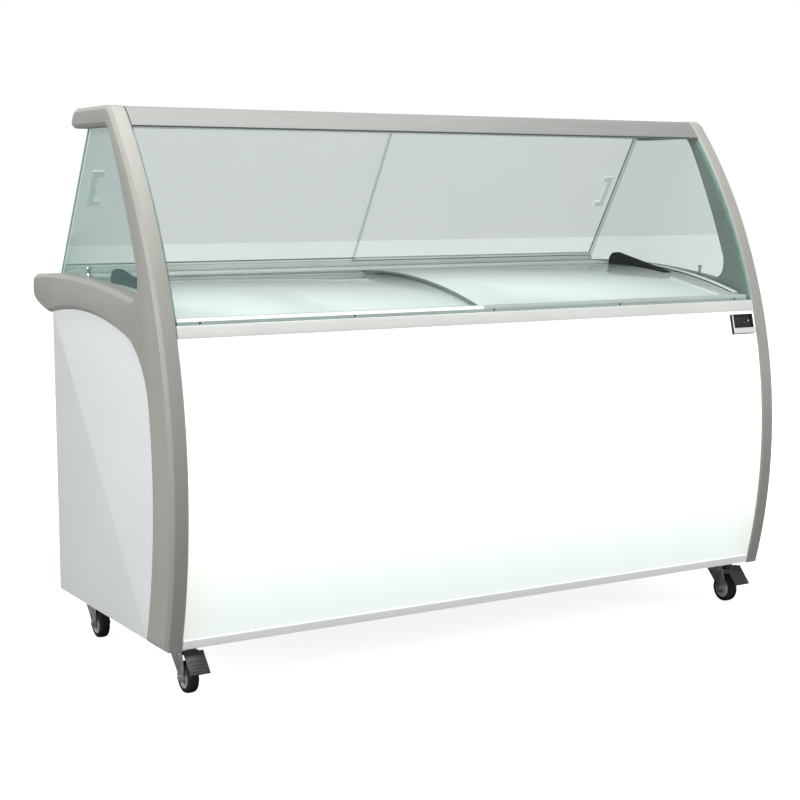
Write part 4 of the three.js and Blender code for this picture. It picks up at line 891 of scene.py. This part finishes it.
grille_low, grille_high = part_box("machine_grille")
for number, (x, z) in enumerate(
    (x, z)
    for x in (grille_low.x + 7 * MM, grille_high.x - 7 * MM)
    for z in (grille_low.z + 7 * MM, grille_high.z - 7 * MM)
):
    settle(screw(f"grille_screw_{number}", (x, grille_high.y, z), TO_REAR, 3.6 * MM), body="cabinet")

panel_low, panel_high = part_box("outer_case")
for number, x in enumerate((-0.82, -0.41, 0.0, 0.41, 0.82)):
    place = (x, panel_high.y, panel_low.z + 12 * MM)
    settle(screw(f"case_screw_{number}", place, TO_REAR, 3.6 * MM), body="cabinet")


# ---- Casters ------------------------------------------------------------------------------------


def caster(corner_name, braked):
    """Swivel head, pressed fork, axle bolt, wheel with hub and tread, and a brake pedal in front."""
    fork_node, wheel_node = f"caster_fork_{corner_name}", f"caster_wheel_{corner_name}"
    fork_body, wheel_body = BODY_OF[fork_node], BODY_OF[wheel_node]
    wheel_low, wheel_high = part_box(wheel_node)
    hub = (wheel_low + wheel_high) / 2
    radius = (wheel_high.z - wheel_low.z) / 2
    half = (wheel_high.x - wheel_low.x) / 2
    swivel = Vector(JOINTS[f"swivel_{corner_name}"]["pos_m"])
    fork_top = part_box(fork_node)[1].z
    axis = Vector((swivel.x, swivel.y, fork_top))

    head = [
        (0, 0),
        (28.5 * MM, 0),
        (30 * MM, -1.2 * MM),
        (30 * MM, -3.2 * MM),
        (27.5 * MM, -4.2 * MM),
        (27.5 * MM, -4.8 * MM),
        (29 * MM, -5.4 * MM),
        (29 * MM, -8 * MM),
        (26 * MM, -10.5 * MM),
        (10 * MM, -11.5 * MM),
        (9 * MM, -13 * MM),
        (5 * MM, -13.8 * MM),
        (0, -14 * MM),
    ]
    race = put(lathe(f"caster_race_{corner_name}", head, [MATERIALS["zinc"]], 56), axis)

    outline = leg_outline(axis, hub)
    sheet, inside = 3 * MM, half + 2 * MM
    legs = []
    for number, x in enumerate((axis.x - inside - sheet, axis.x + inside)):
        name = f"caster_leg_{corner_name}_{number}"
        legs.append(along_x(name, outline, x, x + sheet, [MATERIALS["zinc"]], (0.9 * MM, 0.9 * MM), 3))
    bridge_points = [
        (axis.y - 42 * MM, axis.z - 9 * MM),
        (axis.y + 19 * MM, axis.z - 9 * MM),
        (axis.y + 19 * MM, axis.z - 12 * MM),
        (axis.y - 42 * MM, axis.z - 12 * MM),
    ]
    bridge = along_x(
        f"caster_bridge_{corner_name}",
        eased([Vector(p) for p in reversed(bridge_points)], 1 * MM),
        axis.x - inside - 1 * MM,
        axis.x + inside + 1 * MM,
        [MATERIALS["zinc"]],
        (0, 0),
    )
    bolts = []
    for number, sign in enumerate((-1, 1)):
        nut = hexagon(f"axle_nut_{corner_name}_{number}", 12 * MM, 5 * MM)
        turn = Matrix.Rotation(math.radians(90 * sign), 4, "Y")
        bolts.append(put(nut, (axis.x + sign * (inside + sheet), hub.y, hub.z), turn))
    fork = joined(f"{fork_node}_skin", [race, *legs, bridge, *bolts])
    settle(fork, fork_node)

    tread = radius
    tyre_profile = [
        (25.2 * MM, half - 3.0 * MM),
        (26.5 * MM, half - 1.2 * MM),
        (28.5 * MM, half - 0.6 * MM),
        (tread - 5.5 * MM, half - 1.6 * MM),
        (tread - 2.2 * MM, half - 3.6 * MM),
        (tread - 0.6 * MM, half - 6.5 * MM),
        (tread, half - 11 * MM),
        (tread, 1.2 * MM),
        (tread - 0.9 * MM, 0.5 * MM),
        (tread - 0.9 * MM, -0.5 * MM),
        (tread, -1.2 * MM),
    ]
    mirrored = [(r, -x) for r, x in tyre_profile[:8]][::-1]
    ring = [*tyre_profile, *mirrored[1:], tyre_profile[0]]
    tyre = lathe(f"caster_tyre_{corner_name}", ring, [MATERIALS["tyre"]], 72, 40)
    hub_side = [
        (4.6 * MM, half),
        (9.5 * MM, half),
        (10.5 * MM, half - 0.8 * MM),
        (11.5 * MM, half - 4.5 * MM),
        (13 * MM, half - 5.5 * MM),
        (20.5 * MM, half - 6.0 * MM),
        (22.5 * MM, half - 4.2 * MM),
        (23.5 * MM, half - 2.2 * MM),
        (25.4 * MM, half - 2.2 * MM),
    ]
    hub_ring = [*hub_side, *[(r, -x) for r, x in hub_side][::-1], hub_side[0]]
    core = lathe(f"caster_hub_{corner_name}", hub_ring, [MATERIALS["hub"]], 60, 30)
    ribs = []
    for k in range(6):
        rib = bmesh.new()
        bar = bmesh.ops.create_cube(rib, size=1.0)["verts"]
        bmesh.ops.scale(rib, vec=(10 * MM, 2 * MM, 2 * (half - 4.4 * MM)), verts=bar)
        bmesh.ops.translate(rib, vec=(16.4 * MM, 0, 0), verts=bar)
        bmesh.ops.rotate(rib, cent=(0, 0, 0), matrix=Matrix.Rotation(k * math.pi / 3, 3, "Z"), verts=bar)
        bmesh.ops.bevel(rib, geom=rib.edges[:], offset=0.5 * MM, segments=2, affect="EDGES")
        ribs.append(finish_mesh(f"caster_rib_{corner_name}_{k}", rib, [MATERIALS["hub"]]))
    core = joined(core.name, [core, *ribs])
    for part in (tyre, core):
        put(part, hub, TO_X)
    settle(tyre, wheel_node)
    settle(core, wheel_node)

    for number, (dx, dy) in enumerate((a, b) for a in (-25, 25) for b in (-27, 27)):
        bolt = hexagon(f"plate_bolt_{corner_name}_{number}", 9 * MM, 2.2 * MM)
        spot = (axis.x + dx * MM, axis.y + dy * MM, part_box("base_frame")[0].z)
        settle(put(bolt, spot, Matrix.Rotation(math.pi, 4, "X")), body="cabinet")
    if braked:
        pedal(corner_name, axis, half)


def leg_outline(axis, hub):
    """A fork leg in Y and Z: wide under the swivel head, tapering to a round end about the axle."""
    end_radius = 13 * MM
    top = axis.z - 9 * MM
    points = [Vector((axis.y + 20 * MM, top)), Vector((axis.y - 44 * MM, top))]
    points.append(Vector((hub.y - 16 * MM, hub.z + 26 * MM)))
    for k in range(13):
        angle = math.pi + math.pi * k / 12
        points.append(hub.yz + Vector((math.cos(angle), math.sin(angle))) * end_radius)
    points.append(Vector((hub.y + 17 * MM, hub.z + 10 * MM)))
    points.append(Vector((axis.y + 19 * MM, top - 16 * MM)))
    if turning_area(points) < 0:
        points.reverse()
    return eased(points, 3 * MM)


def pedal(corner_name, axis, half):
    """A pressed black pedal: bent plate with a ribbed foot end, on a pin through the fork."""
    node = f"brake_pedal_{corner_name}"
    low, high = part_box(node)
    pin = Vector(JOINTS[f"brake_{corner_name}"]["pos_m"])
    knee = Vector((pin.y - 35 * MM, pin.z + 13.5 * MM))
    toe = Vector((low.y + 1.6 * MM, low.z + 1.6 * MM))
    along = (toe - knee).normalized()
    across = Vector((along.y, -along.x))
    thick = 3 * MM
    plate = [knee, toe, toe - across * thick, knee - across * thick]
    if turning_area(plate) < 0:
        plate.reverse()
    width = (high.x - low.x) / 2
    foot = along_x(f"pedal_plate_{corner_name}", eased(plate, 1.2 * MM), pin.x - width, pin.x + width, [MATERIALS["black_metal"]], (1 * MM, 1 * MM))
    parts = [foot]
    for k in range(4):
        spot = knee.lerp(toe, 0.45 + 0.14 * k) - across * thick * 0.2
        rib = [spot - along * 1.4 * MM, spot + along * 1.4 * MM, spot + along * 0.8 * MM + across * 1.4 * MM, spot - along * 0.8 * MM + across * 1.4 * MM]
        if turning_area(rib) < 0:
            rib.reverse()
        parts.append(along_x(f"pedal_rib_{corner_name}_{k}", eased(rib, 0.3 * MM), pin.x - width * 0.86, pin.x + width * 0.86, [MATERIALS["black_metal"]], (0, 0)))
    arm = [
        Vector((pin.y + 4 * MM, pin.z + 5 * MM)),
        Vector((pin.y - 33 * MM, pin.z + 15 * MM)),
        Vector((pin.y - 37 * MM, pin.z + 12 * MM)),
        Vector((pin.y - 30 * MM, pin.z + 7 * MM)),
        Vector((pin.y + 4 * MM, pin.z - 5 * MM)),
    ]
    if turning_area(arm) < 0:
        arm.reverse()
    parts.append(along_x(f"pedal_arm_{corner_name}", eased(arm, 2 * MM), pin.x - half + 1 * MM, pin.x + half - 1 * MM, [MATERIALS["black_metal"]], (0.6 * MM, 0.6 * MM)))
    rod = lathe(f"pedal_pin_{corner_name}", [(0, 22 * MM), (2.4 * MM, 22 * MM), (3 * MM, 21.4 * MM), (3 * MM, -21.4 * MM), (2.4 * MM, -22 * MM), (0, -22 * MM)], [MATERIALS["chrome"]], 24)
    parts.append(put(rod, pin, TO_X))
    settle(joined(f"{node}_skin", parts), node)


for corner_name in ("front_left", "front_right", "rear_left", "rear_right"):
    caster(corner_name, f"brake_{corner_name}" in JOINTS)


# ---- Floor, light, camera -----------------------------------------------------------------------


def seen_or_lighting(paint_tree, seen, lighting, output):
    """Joins two shaders: one for what the camera sees, one for what lights and mirrors the object."""
    path = paint_tree.nodes.new("ShaderNodeLightPath")
    mix = paint_tree.nodes.new("ShaderNodeMixShader")
    paint_tree.links.new(path.outputs["Is Camera Ray"], mix.inputs["Fac"])
    paint_tree.links.new(lighting, mix.inputs[1])
    paint_tree.links.new(seen, mix.inputs[2])
    paint_tree.links.new(mix.outputs["Shader"], output)


def studio():
    """A white floor under a white sky that barely light the object, and large soft lamps that do."""
    world = bpy.data.worlds.new("studio_air")
    bpy.context.scene.world = world
    world.use_nodes = True
    nodes = world.node_tree.nodes
    sky = nodes["Background"]
    sky.inputs["Color"].default_value = (1, 1, 1, 1)
    sky.inputs["Strength"].default_value = 1.0
    dim = nodes.new("ShaderNodeBackground")
    dim.inputs["Color"].default_value = (0.97, 1, 1, 1)
    dim.inputs["Strength"].default_value = 0.42
    output = nodes["World Output"].inputs["Surface"]
    seen_or_lighting(world.node_tree, sky.outputs["Background"], dim.outputs["Background"], output)

    bpy.ops.mesh.primitive_plane_add(size=60, location=(0, 0, 0))
    floor = bpy.context.object
    floor.name = "studio_floor"
    pale = Paint("studio_floor", (0.2, 0.2, 0.2), 0.9)
    white = pale.node("ShaderNodeBsdfPrincipled")
    white.inputs["Base Color"].default_value = (0.8, 0.8, 0.8, 1)
    white.inputs["Roughness"].default_value = 1
    white.inputs["Emission Color"].default_value = (1, 1, 1, 1)
    white.inputs["Emission Strength"].default_value = 0.86
    output = pale.tree.nodes["Material Output"].inputs["Surface"]
    seen_or_lighting(pale.tree, white.outputs["BSDF"], pale.surface.outputs["BSDF"], output)
    floor.data.materials.append(pale.material)

    lamps = (
        ("left", (-4.6, -0.9, 2.0), 2.6, 92),
        ("above", (-0.4, -0.9, 4.4), 3.4, 165),
        ("right", (3.0, -2.4, 1.0), 1.5, 16),
        ("behind", (1.6, 4.4, 4.0), 2.6, 36),
    )
    for name, place, size, power in lamps:
        light = bpy.data.lights.new(name, "AREA")
        light.size = size
        light.energy = power
        lamp = bpy.data.objects.new(name, light)
        bpy.context.scene.collection.objects.link(lamp)
        lamp.location = place
        lamp.visible_glossy = name != "behind"
        lamp.rotation_euler = (Vector((0, 0, 0.7)) - Vector(place)).to_track_quat("-Z", "Y").to_euler()


def camera():
    """Where the photograph was taken from: low, to the left, at head height."""
    lens = bpy.data.cameras.new("camera")
    lens.sensor_width = 36
    lens.lens = 73.35
    eye = bpy.data.objects.new("camera", lens)
    bpy.context.scene.collection.objects.link(eye)
    eye.location = (-2.301, -3.714, 1.144)
    eye.rotation_euler = (math.radians(90 - 7.26), 0, math.radians(-31.32))
    bpy.context.scene.camera = eye


studio()
camera()
bpy.context.scene.view_settings.view_transform = "Standard"
